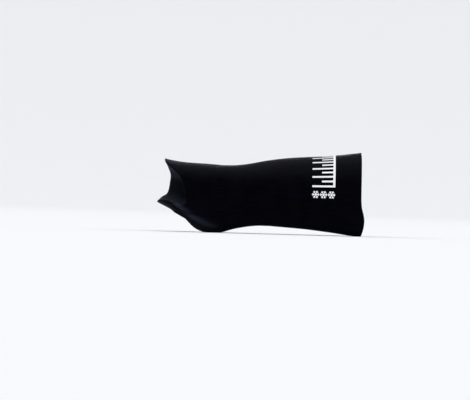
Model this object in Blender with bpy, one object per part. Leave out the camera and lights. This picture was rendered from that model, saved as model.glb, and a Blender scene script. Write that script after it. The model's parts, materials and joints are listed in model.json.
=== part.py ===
"""Pull-on cold compression sleeve for the wrist, with two removable gel packs.

Frame: metres, +X from the fingers to the forearm, -Y to the thumb side, +Z to the back of the hand.
The sleeve lies palm side down on Z = 0, and the origin is under the middle of its length.
A point on the sleeve is named by x, by its girth angle (0 little-finger side, 90 back of the hand,
180 thumb side, 270 palm side) and by its depth below the outer face.
"""

import math

import bmesh
import bpy
import numpy as np

MM = 0.001

# Thicknesses of the layers and the clearance kept between neighbouring pieces.
OUTER_THICK = 1.8 * MM
LINING_THICK = 0.7 * MM
POCKET_THICK = 0.6 * MM
FILM_THICK = 0.3 * MM
GEL_THICK = 2.5 * MM
GAP = 0.3 * MM
LINING_DEPTH = OUTER_THICK + GAP
POCKET_SEAT = LINING_DEPTH + LINING_THICK + 2 * GAP

# The worn shape, as lines along x: (x, value) in millimetres.
BACK_LINE = (
    (-87, 60.9), (-65, 57.7), (-48, 56.9), (-30, 56.3), (-12, 58.1), (4, 61.7), (18, 64.0), (50, 66.3),
    (87, 70.7),
)
PALM_LINE = (
    (-87, 24.2), (-77, 19.6), (-66, 15.5), (-55, 8.2), (-48, 1.6), (-43, -1.0), (-36, -1.4), (-31, 0.2),
    (-25, 2.9), (-15, 4.9), (-4, 6.4), (6, 6.5), (22, 5.5), (40, 4.3), (58, 2.6), (68, 1.2), (75, -0.6),
    (87, -3.0),
)
THUMB_SIDE = ((-87, 40), (-66, 41), (-44, 40), (-22, 32.5), (0, 30.5), (40, 33.5), (87, 37.5))
LITTLE_SIDE = ((-87, 42), (-66, 41), (-44, 38), (-22, 32.5), (0, 30), (40, 33), (87, 37))
BACK_FULLNESS = ((-87, 2.7), (-44, 2.5), (0, 2.2), (87, 2.05))
PALM_FULLNESS = ((-87, 3.0), (-44, 2.8), (0, 2.3), (87, 2.15))
BACK_SLOPE = ((-87, 0.08), (-40, 0.10), (0, 0.02), (87, 0.0))

# The thumb base lifts the wall outwards around one girth angle.
THUMB_BASE = (
    (-87, 0), (-76, 0.8), (-70, 5.0), (-62, 9.5), (-55, 9.0), (-48, 4.6), (-40, 1.0), (-30, 0), (87, 0),
)
THUMB_BASE_ANGLE = 236.0
THUMB_BASE_SPREAD = 26.0

# Openings. The finger and cuff edges are x as a function of the girth angle, in degrees and millimetres.
FINGER_EDGE = (
    (-20, -80.0), (20, -77.0), (60, -79.5), (90, -81.2), (112, -81.6), (127, -80.4), (144, -75.2),
    (155, -70.9), (167, -67.3), (180, -64.8), (192, -62.9), (202, -62.2), (208.5, -63.6), (215, -69.5),
    (223, -76.6), (232, -82.6), (243, -86.2), (262, -87.2), (290, -87.0), (318, -84.5),
)
CUFF_EDGE = 83.2
CUFF_TOE = 3.2
CUFF_TOE_ANGLE = 212.0
THUMB_HOLE = (
    (-72.5, 237), (-68.3, 231), (-64.9, 229.5), (-61.5, 232), (-57, 238.5), (-50, 249), (-42.5, 259),
    (-44, 267), (-53, 269), (-62, 266.5), (-69, 260), (-73.5, 248),
)

# Seams join the back panel to the palm panel along both sides: (x, girth angle).
THUMB_SEAM = ((-68, 212), (-40, 208), (0, 203), (87, 195))
LITTLE_SEAM_ANGLE = 0.0
SEAM_SLIT = 0.35 * MM
STITCH_RADIUS = 0.3 * MM
STITCH_PITCH = 4.0 * MM
STITCH_HALF_WIDTH = 1.6 * MM

# Two identical gel packs, each three gel cells between two films, curved to the wrist and straight along it.
PACK_RADIUS = 31.0 * MM
PACK_HALF_ANGLE = 41.0
PACK_LENGTH = 78.0 * MM
PACK_FLANGE = 2.5 * MM
CELL_HALF_ANGLE = 12.0
CELL_PITCH_ANGLE = 26.5
PACK_THICK = 2 * FILM_THICK + GEL_THICK + 2 * GAP
POCKET_PLAY = 0.5 * MM
TAB_LENGTH = 16.0 * MM
TAB_HALF_WIDTH = 6.0 * MM
BACK_PACK = {"side": 1, "start": -13.0 * MM, "height": 53.9 * MM, "slope": 5.0}
PALM_PACK = {"side": -1, "start": -13.0 * MM, "height": 11.2 * MM, "slope": -3.0}

# The pockets that hold the packs against the lining, open at the cuff.
POCKET_HALF_ANGLE = 77.0
POCKET_WALL_ANGLE = 9.0
POCKET_HEM_ANGLE = 4.5
POCKET_END_WALL = 5.0 * MM
POCKET_HEM = 3.0 * MM
POCKET_SETBACK = 5.0 * MM

# The print near the cuff: a fitting scale, and a row of snowflakes that rates the cold.
PRINT_THICK = 0.3 * MM
FLAKE_FIRST_X = 45.0 * MM
FLAKE_PITCH = 6.6 * MM
FLAKE_ANGLE = 181.0
FLAKE_ARM = 3.1 * MM
FLAKE_STROKE = 0.62 * MM
FLAKE_BARB_AT = 1.85 * MM
FLAKE_BARB = 1.1 * MM

# Moves the finished sleeve so that the origin is under the middle of its box.
CENTRING = (0.47 * MM, -0.63 * MM)

COLOURS = {
    "face_knit": (0.006, 0.007, 0.010, 0.75, 0.0),
    "lining_knit": (0.018, 0.019, 0.023, 0.85, 0.0),
    "thread": (0.010, 0.011, 0.015, 0.6, 0.0),
    "pocket_mesh": (0.025, 0.027, 0.032, 0.8, 0.0),
    "print": (0.85, 0.86, 0.88, 0.45, 0.0),
    "gel": (0.10, 0.35, 0.62, 0.25, 0.0),
    "film": (0.45, 0.62, 0.78, 0.3, 0.0),
    "label": (0.75, 0.76, 0.78, 0.6, 0.0),
}


def smooth_line(knots, scale=MM):
    """A smooth curve through (x in mm, value) knots: a cubic between knots, with averaged slopes at them."""
    x = np.array([k[0] for k in knots], float) * MM
    v = np.array([k[1] for k in knots], float) * scale
    chord = np.diff(v) / np.diff(x)
    slope = np.concatenate([[chord[0]], (chord[1:] + chord[:-1]) / 2, [chord[-1]]])

    def value(at):
        at = min(max(at, x[0]), x[-1])
        i = min(int(np.searchsorted(x, at, side="right")) - 1, len(x) - 2)
        h = x[i + 1] - x[i]
        t = (at - x[i]) / h
        rise = v[i] * (1 + 2 * t) * (1 - t) ** 2 + v[i + 1] * t * t * (3 - 2 * t)
        return float(rise + h * (slope[i] * t * (1 - t) ** 2 - slope[i + 1] * t * t * (1 - t)))

    return value


def smooth_loop(knots):
    """A smooth closed curve through (angle, value) knots, for angles in degrees."""
    around = [(a - 360, v) for a, v in knots[-2:]] + list(knots) + [(a + 360, v) for a, v in knots[:2]]
    line = smooth_line(around)
    low = knots[0][0]
    return lambda angle: line(((angle - low) % 360 + low) * MM)


back_line = smooth_line(BACK_LINE)
palm_line = smooth_line(PALM_LINE)
thumb_side = smooth_line(THUMB_SIDE)
little_side = smooth_line(LITTLE_SIDE)
back_fullness = smooth_line(BACK_FULLNESS, 1)
palm_fullness = smooth_line(PALM_FULLNESS, 1)
back_slope = smooth_line(BACK_SLOPE, 1)
thumb_base = smooth_line(THUMB_BASE)
thumb_seam = smooth_line(THUMB_SEAM, 1)
finger_edge = smooth_loop(FINGER_EDGE)


def power(value, exponent):
    """A signed power, which squares off a circle."""
    return math.copysign(abs(value) ** exponent, value)


def sleeve_point(x, angle, depth=0.0):
    """The point of the worn sleeve at x, at a girth angle and at a depth below the outer face."""
    across, up = math.cos(math.radians(angle)), math.sin(math.radians(angle))
    top, bottom, near, far = back_line(x), palm_line(x), thumb_side(x), little_side(x)
    squaring = 2 / (back_fullness(x) if up >= 0 else palm_fullness(x))
    half_width = (near + far) / 2 - depth
    half_height = (top - bottom) / 2 - depth
    y = (far - near) / 2 + half_width * power(across, squaring)
    z = (top + bottom) / 2 + half_height * power(up, squaring)
    z -= back_slope(x) * y * max(up, 0.0)
    lift = thumb_base(x) * math.exp(-(((angle % 360) - THUMB_BASE_ANGLE) / THUMB_BASE_SPREAD) ** 2)
    return (x, y + lift * across, max(z + lift * up, depth))


def cuff_edge(angle):
    """The cuff's edge: a plain cut, with a toe where the palm panel runs on past the thumb-side seam."""
    past = ((angle % 360) - CUFF_TOE_ANGLE) / (14 if angle % 360 < CUFF_TOE_ANGLE else 34)
    return CUFF_EDGE * MM + CUFF_TOE * MM * math.exp(-past * past)


def material(name):
    """A plain material of the named finish."""
    if name in bpy.data.materials:
        return bpy.data.materials[name]
    made = bpy.data.materials.new(name)
    made.use_nodes = True
    red, green, blue, roughness, metallic = COLOURS[name]
    shader = made.node_tree.nodes["Principled BSDF"]
    shader.inputs["Base Color"].default_value = (red, green, blue, 1)
    shader.inputs["Roughness"].default_value = roughness
    shader.inputs["Metallic"].default_value = metallic
    made.diffuse_color = (red, green, blue, 1)
    return made


def add_object(name, points, faces, finish, smooth=True):
    """A named object from points and faces, with its faces pointing out."""
    mesh = bpy.data.meshes.new(name)
    mesh.from_pydata([tuple(p) for p in points], [], faces)
    built = bmesh.new()
    built.from_mesh(mesh)
    bmesh.ops.recalc_face_normals(built, faces=built.faces)
    if built.calc_volume(signed=True) < 0:
        bmesh.ops.reverse_faces(built, faces=built.faces)
    built.to_mesh(mesh)
    built.free()
    if smooth:
        mesh.shade_smooth()
        mesh.set_sharp_from_angle(angle=math.radians(40))
    made = bpy.data.objects.new(name, mesh)
    made.data.materials.append(material(finish))
    bpy.context.scene.collection.objects.link(made)
    return made


def sheet_solid(name, outer, inner, finish):
    """A closed sheet between two grids of points, outer[row][column] and inner[row][column]."""
    rows, columns = len(outer), len(outer[0])
    points = [p for row in outer for p in row] + [p for row in inner for p in row]
    far = rows * columns

    def at(row, column):
        return row * columns + column

    faces = []
    for r in range(rows - 1):
        for c in range(columns - 1):
            a, b, d, e = at(r, c), at(r, c + 1), at(r + 1, c + 1), at(r + 1, c)
            faces += [(a, b, d), (a, d, e), (far + a, far + d, far + b), (far + a, far + e, far + d)]
    edge = [at(0, c) for c in range(columns)] + [at(r, columns - 1) for r in range(1, rows)]
    edge += [at(rows - 1, c) for c in range(columns - 2, -1, -1)] + [at(r, 0) for r in range(rows - 2, 0, -1)]
    for a, b in zip(edge, edge[1:] + edge[:1]):
        faces += [(a, far + a, far + b), (a, far + b, b)]
    return add_object(name, points, faces, finish)


def panel_rows(girth, edge_setback, rows):
    """Rows of (x, angle) from the finger edge to the cuff. girth(share, x) gives the angle across."""
    shares = np.linspace(0, 1, 21)
    made = []
    for row in range(rows + 1):
        line = []
        for share in shares:
            angle = girth(share, 0.0)
            for _ in range(4):
                start = finger_edge(angle) + edge_setback
                end = cuff_edge(angle) - edge_setback
                x = start + (end - start) * row / rows
                angle = girth(share, x)
            line.append((x, angle))
        made.append(line)
    return made


def slit_angle(x):
    """Half the slit between two panels at a seam, as a girth angle."""
    return math.degrees(SEAM_SLIT / 2 / ((thumb_side(x) + little_side(x)) / 2))


def back_girth(share, x):
    low, high = LITTLE_SEAM_ANGLE + slit_angle(x), thumb_seam(x) - slit_angle(x)
    return low + (high - low) * share


def palm_girth(share, x):
    low, high = thumb_seam(x) + slit_angle(x), LITTLE_SEAM_ANGLE + 360 - slit_angle(x)
    return low + (high - low) * share


def panel(name, girth, depth, thick, setback, finish):
    """A back or palm panel of one layer."""
    rows = panel_rows(girth, setback, 22)
    outer = [[sleeve_point(x, angle, depth) for x, angle in row] for row in rows]
    inner = [[sleeve_point(x, angle, depth + thick) for x, angle in row] for row in rows]
    return sheet_solid(name, outer, inner, finish)


def thumb_hole_loop(count, grow=0.0):
    """Points (x, angle) round the thumb hole, on a smooth closed curve through its knots."""
    knots = [np.array(k, float) for k in THUMB_HOLE]
    centre = sum(knots) / len(knots)
    made = []
    for step in range(count):
        at = step * len(knots) / count
        i, t = int(at), at - int(at)
        a, b, c, d = (knots[(i + k) % len(knots)] for k in (-1, 0, 1, 2))
        square, cube = 2 * a - 5 * b + 4 * c - d, 3 * b - a - 3 * c + d
        point = 0.5 * (2 * b + (c - a) * t + square * t * t + cube * t**3)
        away = (point - centre) * (1 + grow)
        made.append((centre + away) * (MM, 1))
    return made


def cut_thumb_hole(target, grow):
    """Cuts the thumb hole through a palm panel, with walls square to the surface."""
    loop = thumb_hole_loop(36, grow)
    outside = [sleeve_point(x, angle, -4 * MM) for x, angle in loop]
    inside = [sleeve_point(x, angle, 9 * MM) for x, angle in loop]
    count = len(loop)
    outer_middle = np.mean(outside, axis=0) + (np.mean(outside, axis=0) - np.mean(inside, axis=0)) * 0.6
    inner_middle = np.mean(inside, axis=0)
    points = outside + inside + [tuple(outer_middle), tuple(inner_middle)]
    faces = []
    for i in range(count):
        j = (i + 1) % count
        faces += [(i, j, count + j), (i, count + j, count + i)]
        faces += [(i, 2 * count, j), (count + i, count + j, 2 * count + 1)]
    cutter = add_object(f"cutter_{target.name}", points, faces, "thread")
    cutter.hide_render = True
    cutter.display_type = "WIRE"
    cut = target.modifiers.new("thumb_hole", "BOOLEAN")
    cut.operation = "DIFFERENCE"
    cut.object = cutter


def thread(name, path):
    """A sewing thread along a path of points."""
    curve = bpy.data.curves.new(name, "CURVE")
    curve.dimensions = "3D"
    spline = curve.splines.new("POLY")
    spline.points.add(len(path) - 1)
    for point, place in zip(spline.points, path):
        point.co = (*place, 1)
    curve.bevel_depth = STITCH_RADIUS
    curve.bevel_resolution = 0
    curve.use_fill_caps = True
    curve.materials.append(material("thread"))
    made = bpy.data.objects.new(name, curve)
    bpy.context.scene.collection.objects.link(made)
    return made


def zigzag(route, half_width, pitch, depth):
    """A zigzag over the sleeve along a route of (x, angle), swinging to both sides of it."""
    places = np.array([sleeve_point(x, a, depth) for x, a in route])
    along = np.concatenate([[0], np.cumsum(np.linalg.norm(np.diff(places, axis=0), axis=1))])
    count = int(along[-1] / (pitch / 2))
    x = np.interp(np.linspace(0, along[-1], count + 1), along, [r[0] for r in route])
    angle = np.interp(np.linspace(0, along[-1], count + 1), along, [r[1] for r in route])
    made = []
    for i in range(count + 1):
        ahead, behind = min(i + 1, count), max(i - 1, 0)
        run_x = x[ahead] - x[behind]
        middle = (0, (back_line(x[i]) + palm_line(x[i])) / 2)
        radius = math.dist(sleeve_point(x[i], angle[i])[1:], middle)
        run_girth = math.radians(angle[ahead] - angle[behind]) * radius
        length = math.hypot(run_x, run_girth)
        side = half_width * (1 if i % 2 else -1)
        across = math.degrees(side * run_x / length / radius)
        made.append(sleeve_point(x[i] - side * run_girth / length, angle[i] + across, depth))
    return made


def pack_frame(pack):
    """Origin, slide direction and outward direction of a pack, whose outer face touches the origin."""
    slope = math.radians(pack["slope"])
    along = np.array([math.cos(slope), 0, math.sin(slope)])
    out = np.array([-math.sin(slope), 0, math.cos(slope)]) * pack["side"]
    return np.array([pack["start"], 0, pack["height"]]), along, out


def pack_point(pack, run, angle, depth):
    """A point of a pack, by its run, its angle round the curve and its depth below the outer face."""
    origin, along, out = pack_frame(pack)
    radius = PACK_RADIUS - depth
    turn = math.radians(angle)
    across = np.array([0, radius * math.sin(turn), 0])
    return tuple(origin + along * run + out * (radius * math.cos(turn) - PACK_RADIUS) + across)


def pack_sheet(name, pack, runs, angles, depths, finish):
    """A curved sheet of a pack. depths(run share, angle share) gives its outer and inner depth."""
    outer, inner = [], []
    for r in runs:
        outer.append([pack_point(pack, r, a, depths(r, a)[0]) for a in angles])
        inner.append([pack_point(pack, r, a, depths(r, a)[1]) for a in angles])
    return sheet_solid(name, outer, inner, finish)


def gel_cell(name, pack, middle):
    """One sealed pillow of gel: full in the middle and thin at its welded rim."""
    start, end = PACK_FLANGE, PACK_LENGTH - PACK_FLANGE
    half_run = (end - start) / 2
    centre_depth = FILM_THICK + GAP + GEL_THICK / 2

    def depths(run, angle):
        u = abs(run - start - half_run) / half_run
        v = abs(angle - middle) / CELL_HALF_ANGLE
        swell = 0.12 + 0.88 * math.sqrt(max(0.0, (1 - u**10) * (1 - v**4)))
        return centre_depth - GEL_THICK / 2 * swell, centre_depth + GEL_THICK / 2 * swell

    shares = (0, 0.03, 0.1, 0.3, 0.5, 0.7, 0.9, 0.97, 1)
    runs = [start + 2 * half_run * s for s in shares]
    angles = [middle + CELL_HALF_ANGLE * (2 * s - 1) for s in (0, 0.06, 0.2, 0.5, 0.8, 0.94, 1)]
    return pack_sheet(name, pack, runs, angles, depths, "gel")


def gel_pack(prefix, pack):
    """A removable pack: outer film, three gel cells, inner film and a pull tab at the cuff end."""
    angles = np.linspace(-PACK_HALF_ANGLE, PACK_HALF_ANGLE, 13)
    runs = np.linspace(0, PACK_LENGTH, 4)
    inner_film = PACK_THICK - FILM_THICK
    pack_sheet(f"{prefix}_outer_film", pack, runs, angles, lambda r, a: (0.0, FILM_THICK), "film")
    pack_sheet(f"{prefix}_inner_film", pack, runs, angles, lambda r, a: (inner_film, PACK_THICK), "film")
    for place, label in enumerate(("thumb_side", "middle", "little_side")):
        gel_cell(f"{prefix}_gel_cell_{label}", pack, (place - 1) * CELL_PITCH_ANGLE)
    half_tab = math.degrees(TAB_HALF_WIDTH / PACK_RADIUS)
    tab_runs = [PACK_LENGTH + GAP, PACK_LENGTH + GAP + TAB_LENGTH]
    tab_depth = PACK_THICK / 2
    pack_sheet(
        f"{prefix}_pull_tab",
        pack,
        tab_runs,
        np.linspace(-half_tab, half_tab, 4),
        lambda r, a: (tab_depth - 0.5 * MM, tab_depth + 0.5 * MM),
        "thread",
    )


def clear_depth(pack, x, angle):
    """The least depth below the sleeve's face, at x and a girth angle, that clears a pack's inner face."""
    origin, along, _ = pack_frame(pack)
    axis_height = origin[2] + (x - origin[0]) * along[2] / along[0] - PACK_RADIUS * pack["side"]
    low, high = POCKET_SEAT, POCKET_SEAT + 18 * MM
    for _ in range(16):
        depth = (low + high) / 2
        _, y, z = sleeve_point(x, angle, depth)
        if math.hypot(y, z - axis_height) > PACK_RADIUS - PACK_THICK - POCKET_PLAY:
            low = depth
        else:
            high = depth
    return high


def ease(value):
    """Smooth step from 0 to 1."""
    t = min(max(value, 0.0), 1.0)
    return t * t * (3 - 2 * t)


def pocket_start(pack):
    """Where a pocket's closed end is, with room for its stitching and its rise to the pack."""
    return pack["start"] - POCKET_END_WALL - POCKET_HEM


def pocket_depth(pack, x, angle):
    """The pocket's depth: down at the lining along its sewn edges, and clear of the pack between them."""
    off_middle = abs(angle - 180 + 90 * pack["side"])
    side_wall = ease((POCKET_HALF_ANGLE - POCKET_HEM_ANGLE - off_middle) / POCKET_WALL_ANGLE)
    end_wall = ease((x - pocket_start(pack) - POCKET_HEM) / POCKET_END_WALL)
    return POCKET_SEAT + (clear_depth(pack, x, angle) - POCKET_SEAT) * side_wall * end_wall


def pocket(name, pack):
    """A knitted pocket panel, sewn down on three edges and open at the cuff."""
    middle = 180 - 90 * pack["side"]
    start, end = pocket_start(pack), CUFF_EDGE * MM - POCKET_SETBACK
    wall = start + POCKET_HEM + POCKET_END_WALL * np.array((0, 0.33, 0.67))
    xs = [start, *wall, *np.linspace(start + POCKET_HEM + POCKET_END_WALL, end, 11)]
    rise = POCKET_HALF_ANGLE - POCKET_HEM_ANGLE - POCKET_WALL_ANGLE * np.array((0, 0.33, 0.67))
    half = [POCKET_HALF_ANGLE, *rise]
    level = np.linspace(-rise[-1], rise[-1], 15)[1:-1]
    angles = [middle + a for a in [-h for h in half] + list(level) + half[::-1]]
    outer = [[sleeve_point(x, a, pocket_depth(pack, x, a)) for a in angles] for x in xs]
    inner = [[sleeve_point(x, a, pocket_depth(pack, x, a) + POCKET_THICK) for a in angles] for x in xs]
    return sheet_solid(name, outer, inner, "pocket_mesh")


def pocket_stitching(name, pack):
    """The zigzag that sews a pocket down along its two sides and its closed end."""
    middle = 180 - 90 * pack["side"]
    start = pocket_start(pack) + POCKET_HEM / 2
    end = CUFF_EDGE * MM - POCKET_SETBACK - 1 * MM
    reach = POCKET_HALF_ANGLE - POCKET_HEM_ANGLE / 2
    down_side = [(x, middle - reach) for x in np.linspace(end, start, 12)]
    across = [(start, a) for a in np.linspace(middle - reach, middle + reach, 14)[1:-1]]
    up_side = [(x, middle + reach) for x in np.linspace(start, end, 12)]
    depth = POCKET_SEAT + POCKET_THICK + GAP + STITCH_RADIUS
    return thread(name, zigzag(down_side + across + up_side, 0.6 * MM, 2 * STITCH_PITCH, depth))


def printed_scale(name):
    """A white fitting scale: ticks of two lengths on a spine that runs round the sleeve near the cuff."""
    spine = (59.4 * MM, 61.2 * MM)
    long_tick, short_tick = 42.0 * MM, 50.0 * MM
    pitch_angle, tick_angle = 7.5, 2.8
    first, ticks = 78.0, 13
    columns = [long_tick, short_tick, spine[0], spine[1]]
    angles = [first]
    for i in range(ticks):
        low = first + i * pitch_angle
        angles += [low + tick_angle] + ([low + pitch_angle] if i < ticks - 1 else [])
    points, index, faces = [], {}, []

    def corner(c, r, layer):
        if (c, r, layer) not in index:
            index[(c, r, layer)] = len(points)
            depth = -GAP - (0 if layer else PRINT_THICK)
            points.append(sleeve_point(columns[c], angles[r], depth))
        return index[(c, r, layer)]

    def filled(c, r):
        if not (0 <= c < 3 and 0 <= r < len(angles) - 1):
            return False
        if c == 2:
            return True
        is_tick = r % 2 == 0
        return is_tick and (c == 1 or (r // 2) % 2 == 0)

    for c in range(3):
        for r in range(len(angles) - 1):
            if not filled(c, r):
                continue
            ring = [(c, r), (c + 1, r), (c + 1, r + 1), (c, r + 1)]
            top = [corner(i, j, 0) for i, j in ring]
            low = [corner(i, j, 1) for i, j in ring]
            faces += [(top[0], top[1], top[2]), (top[0], top[2], top[3])]
            faces += [(low[0], low[2], low[1]), (low[0], low[3], low[2])]
            for side, (dc, dr) in enumerate(((0, -1), (1, 0), (0, 1), (-1, 0))):
                if not filled(c + dc, r + dr):
                    a, b = side, (side + 1) % 4
                    faces += [(top[a], low[a], low[b]), (top[a], low[b], top[b])]
    return add_object(name, points, faces, "print", smooth=False)


def printed_snowflake(name, middle_x):
    """A plain six-armed snowflake print, one of a row that rates the cold."""
    half, lean = FLAKE_STROKE / 2, math.radians(50)
    tip_x, tip_y = FLAKE_BARB_AT + FLAKE_BARB * math.cos(lean), FLAKE_BARB * math.sin(lean)
    wide_x, wide_y = half * math.sin(lean), half * math.cos(lean)
    one_side = [
        (half / math.tan(math.radians(30)), half),
        (FLAKE_BARB_AT - 2 * wide_x, half),
        (tip_x - wide_x, tip_y + wide_y),
        (tip_x + wide_x, tip_y - wide_y),
        (FLAKE_BARB_AT + 2 * wide_x, half),
        (FLAKE_ARM, half),
    ]
    arm = [(x, -y) for x, y in one_side] + one_side[:0:-1]
    flat = []
    for k in range(6):
        along, aside = math.cos(math.radians(60 * k)), math.sin(math.radians(60 * k))
        flat += [(x * along - y * aside, x * aside + y * along) for x, y in arm]
    rim, centre = len(flat), len(flat)
    flat.append((0, 0))
    top = []
    for k in range(6):
        root, low, left, right, high, end, far, back, away, off, top_low = (11 * k + i for i in range(11))
        other = 11 * (k + 1) % rim
        top += [(centre, root, other), (root, low, top_low, other), (low, high, back, top_low)]
        top += [(high, end, far, back), (low, left, right, high), (back, away, off, top_low)]
    radius = thumb_side(middle_x)
    points = []
    for depth in (-GAP - PRINT_THICK, -GAP):
        for x, y in flat:
            points.append(sleeve_point(middle_x + x, FLAKE_ANGLE - math.degrees(y / radius), depth))
    below = len(flat)
    faces = top + [tuple(below + i for i in reversed(face)) for face in top]
    for i in range(rim):
        j = (i + 1) % rim
        faces.append((i, below + i, below + j, j))
    return add_object(name, points, faces, "print", smooth=False)


def care_label(name):
    """A woven label, folded flat against the lining at the little-finger seam."""
    xs = np.linspace(60 * MM, 79 * MM, 4)
    angles = np.linspace(-9, 9, 5)
    depth = POCKET_SEAT
    outer = [[sleeve_point(x, a % 360, depth) for a in angles] for x in xs]
    inner = [[sleeve_point(x, a % 360, depth + 0.3 * MM) for a in angles] for x in xs]
    return sheet_solid(name, outer, inner, "label")


def seams():
    """Zigzag seams along both sides, and the bar tack that closes the web between thumb and fingers."""
    depth = -GAP - STITCH_RADIUS
    thumb_start = finger_edge(thumb_seam(-66 * MM)) + 3.5 * MM
    ends = (thumb_start, cuff_edge(195) - 1.5 * MM)
    thumb_route = [(x, thumb_seam(x)) for x in np.linspace(*ends, 40)]
    thread("thumb_side_seam_stitching", zigzag(thumb_route, STITCH_HALF_WIDTH, STITCH_PITCH, depth))
    little_ends = (finger_edge(0) + 1.5 * MM, cuff_edge(0) - 1.5 * MM)
    little_route = [(x, 360 + LITTLE_SEAM_ANGLE) for x in np.linspace(*little_ends, 40)]
    thread("little_side_seam_stitching", zigzag(little_route, STITCH_HALF_WIDTH, STITCH_PITCH, depth))
    tack_x = thumb_start - 1.6 * MM
    tack_middle = thumb_seam(tack_x)
    tack_route = [(tack_x, tack_middle + a) for a in np.linspace(-5, 5, 8)]
    thread("web_bar_tack", zigzag(tack_route, 0.75 * MM, 1.3 * MM, depth))


def main():
    for leftover in list(bpy.data.objects):
        bpy.data.objects.remove(leftover)
    lining_set_back = 0.8 * MM
    panel("back_outer_panel", back_girth, 0.0, OUTER_THICK, 0.0, "face_knit")
    palm_outer = panel("palm_outer_panel", palm_girth, 0.0, OUTER_THICK, 0.0, "face_knit")
    panel("back_lining", back_girth, LINING_DEPTH, LINING_THICK, lining_set_back, "lining_knit")
    palm_lining = panel("palm_lining", palm_girth, LINING_DEPTH, LINING_THICK, lining_set_back, "lining_knit")
    cut_thumb_hole(palm_outer, 0.0)
    cut_thumb_hole(palm_lining, 0.04)
    seams()
    for side, pack in (("back", BACK_PACK), ("palm", PALM_PACK)):
        gel_pack(f"{side}_pack", pack)
        pocket(f"{side}_pocket", pack)
        pocket_stitching(f"{side}_pocket_stitching", pack)
    printed_scale("printed_scale")
    for number in range(3):
        printed_snowflake(f"printed_snowflake_{number + 1}", FLAKE_FIRST_X + number * FLAKE_PITCH)
    care_label("care_label")
    for made in bpy.context.scene.objects:
        made.location = (*CENTRING, 0)


main()
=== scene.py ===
"""The looks of a pull-on cold compression sleeve for the wrist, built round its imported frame."""

import json
import math
from functools import partial

import bmesh
import bpy
import numpy as np
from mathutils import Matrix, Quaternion, Vector
from mathutils.bvhtree import BVHTree
from mathutils.kdtree import KDTree


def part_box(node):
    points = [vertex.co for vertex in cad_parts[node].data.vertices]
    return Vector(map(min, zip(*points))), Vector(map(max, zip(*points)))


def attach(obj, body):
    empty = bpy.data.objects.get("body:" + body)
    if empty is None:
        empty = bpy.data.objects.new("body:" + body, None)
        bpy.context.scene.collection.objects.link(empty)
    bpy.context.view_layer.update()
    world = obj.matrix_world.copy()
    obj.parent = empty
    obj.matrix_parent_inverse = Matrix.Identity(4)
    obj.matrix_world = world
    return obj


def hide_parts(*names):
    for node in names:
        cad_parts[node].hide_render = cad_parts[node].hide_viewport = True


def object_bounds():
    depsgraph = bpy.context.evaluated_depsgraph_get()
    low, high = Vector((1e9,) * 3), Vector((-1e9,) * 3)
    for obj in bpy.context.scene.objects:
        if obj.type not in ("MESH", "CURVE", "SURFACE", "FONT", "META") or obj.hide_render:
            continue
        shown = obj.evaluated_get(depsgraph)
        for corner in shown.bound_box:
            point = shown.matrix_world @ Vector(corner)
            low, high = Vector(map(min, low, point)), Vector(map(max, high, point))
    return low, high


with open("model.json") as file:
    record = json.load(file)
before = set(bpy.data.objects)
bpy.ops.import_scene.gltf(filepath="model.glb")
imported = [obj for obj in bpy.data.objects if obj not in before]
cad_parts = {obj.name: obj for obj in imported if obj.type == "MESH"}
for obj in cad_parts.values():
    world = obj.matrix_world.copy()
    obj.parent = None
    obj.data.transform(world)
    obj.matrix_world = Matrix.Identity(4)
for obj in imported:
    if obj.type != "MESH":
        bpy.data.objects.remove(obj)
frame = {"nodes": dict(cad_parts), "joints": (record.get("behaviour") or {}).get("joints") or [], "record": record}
cad_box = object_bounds()
MM = 0.001


# ---------------------------------------------------------------- the worn shape
# The sleeve is a tube of cloth worn taut over wrist, palm and thumb base. Its run is read off the
# frame's two outer panels, as a share of a plain oval about the arm, and then freed of their facets.
OVAL_X = (-87, -65, -45, -30, 0, 40, 87)
OVAL_BENDS = 4
STATION_STEP = 1.5 * MM
TURN_STEP = 2.0
REACH = 80 * MM
GAP_FILLING = 500
FACET_SMOOTHING = 14


def oval_line(*values):
    """A smooth line along x through values in millimetres at OVAL_X."""
    return np.poly1d(np.polyfit(np.array(OVAL_X) * MM, np.array(values) * MM, OVAL_BENDS))


oval_middle = oval_line(42, 36.5, 30.5, 29, 33.5, 35, 35)
oval_width = oval_line(41, 41, 38.5, 34, 31, 33.5, 37)
oval_height = oval_line(18.5, 22, 26.5, 27.5, 27.5, 30.5, 35)


def corners_of(node):
    """The places of a frame node's corners, as an array."""
    shown = frame["nodes"][node]
    return np.array([shown.matrix_world @ v.co for v in shown.data.vertices])


def tree_of(*nodes):
    """A tree for casting rays at frame nodes."""
    corners, sides = [], []
    for node in nodes:
        sides += [[len(corners) + i for i in side.vertices] for side in frame["nodes"][node].data.polygons]
        corners += [Vector(c) for c in corners_of(node)]
    return BVHTree.FromPolygons(corners, sides)


outer_cloth = tree_of("back_outer_panel", "palm_outer_panel")


def spoke(x, turn):
    """The plain oval's half width and half height at x, taken along a turn in degrees."""
    angle = np.radians(turn)
    return oval_width(x) * np.cos(angle), oval_height(x) * np.sin(angle)


def cast(x, turn):
    """The outer cloth's distance from the arm's middle as a share of the oval's, or None off the cloth."""
    across, up = spoke(x, turn)
    length = math.hypot(across, up)
    out = Vector((0, across, up)) / length
    start = Vector((x, 0, oval_middle(x))) + out * REACH
    distance = outer_cloth.ray_cast(start, -out, REACH)[3]
    return None if distance is None else (REACH - distance) / length


stations = np.arange(cad_box[0][0], cad_box[1][0] + STATION_STEP, STATION_STEP)
turns = np.arange(0, 360, TURN_STEP)
shares = np.array([[cast(x, turn) for turn in turns] for x in stations], float)


def neighbours_mean(table):
    """Each value's four neighbours averaged. The table closes round the sleeve, and its ends repeat."""
    padded = np.pad(table, ((1, 1), (0, 0)), mode="edge")
    return (padded[:-2] + padded[2:] + np.roll(table, 1, 1) + np.roll(table, -1, 1)) / 4


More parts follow.
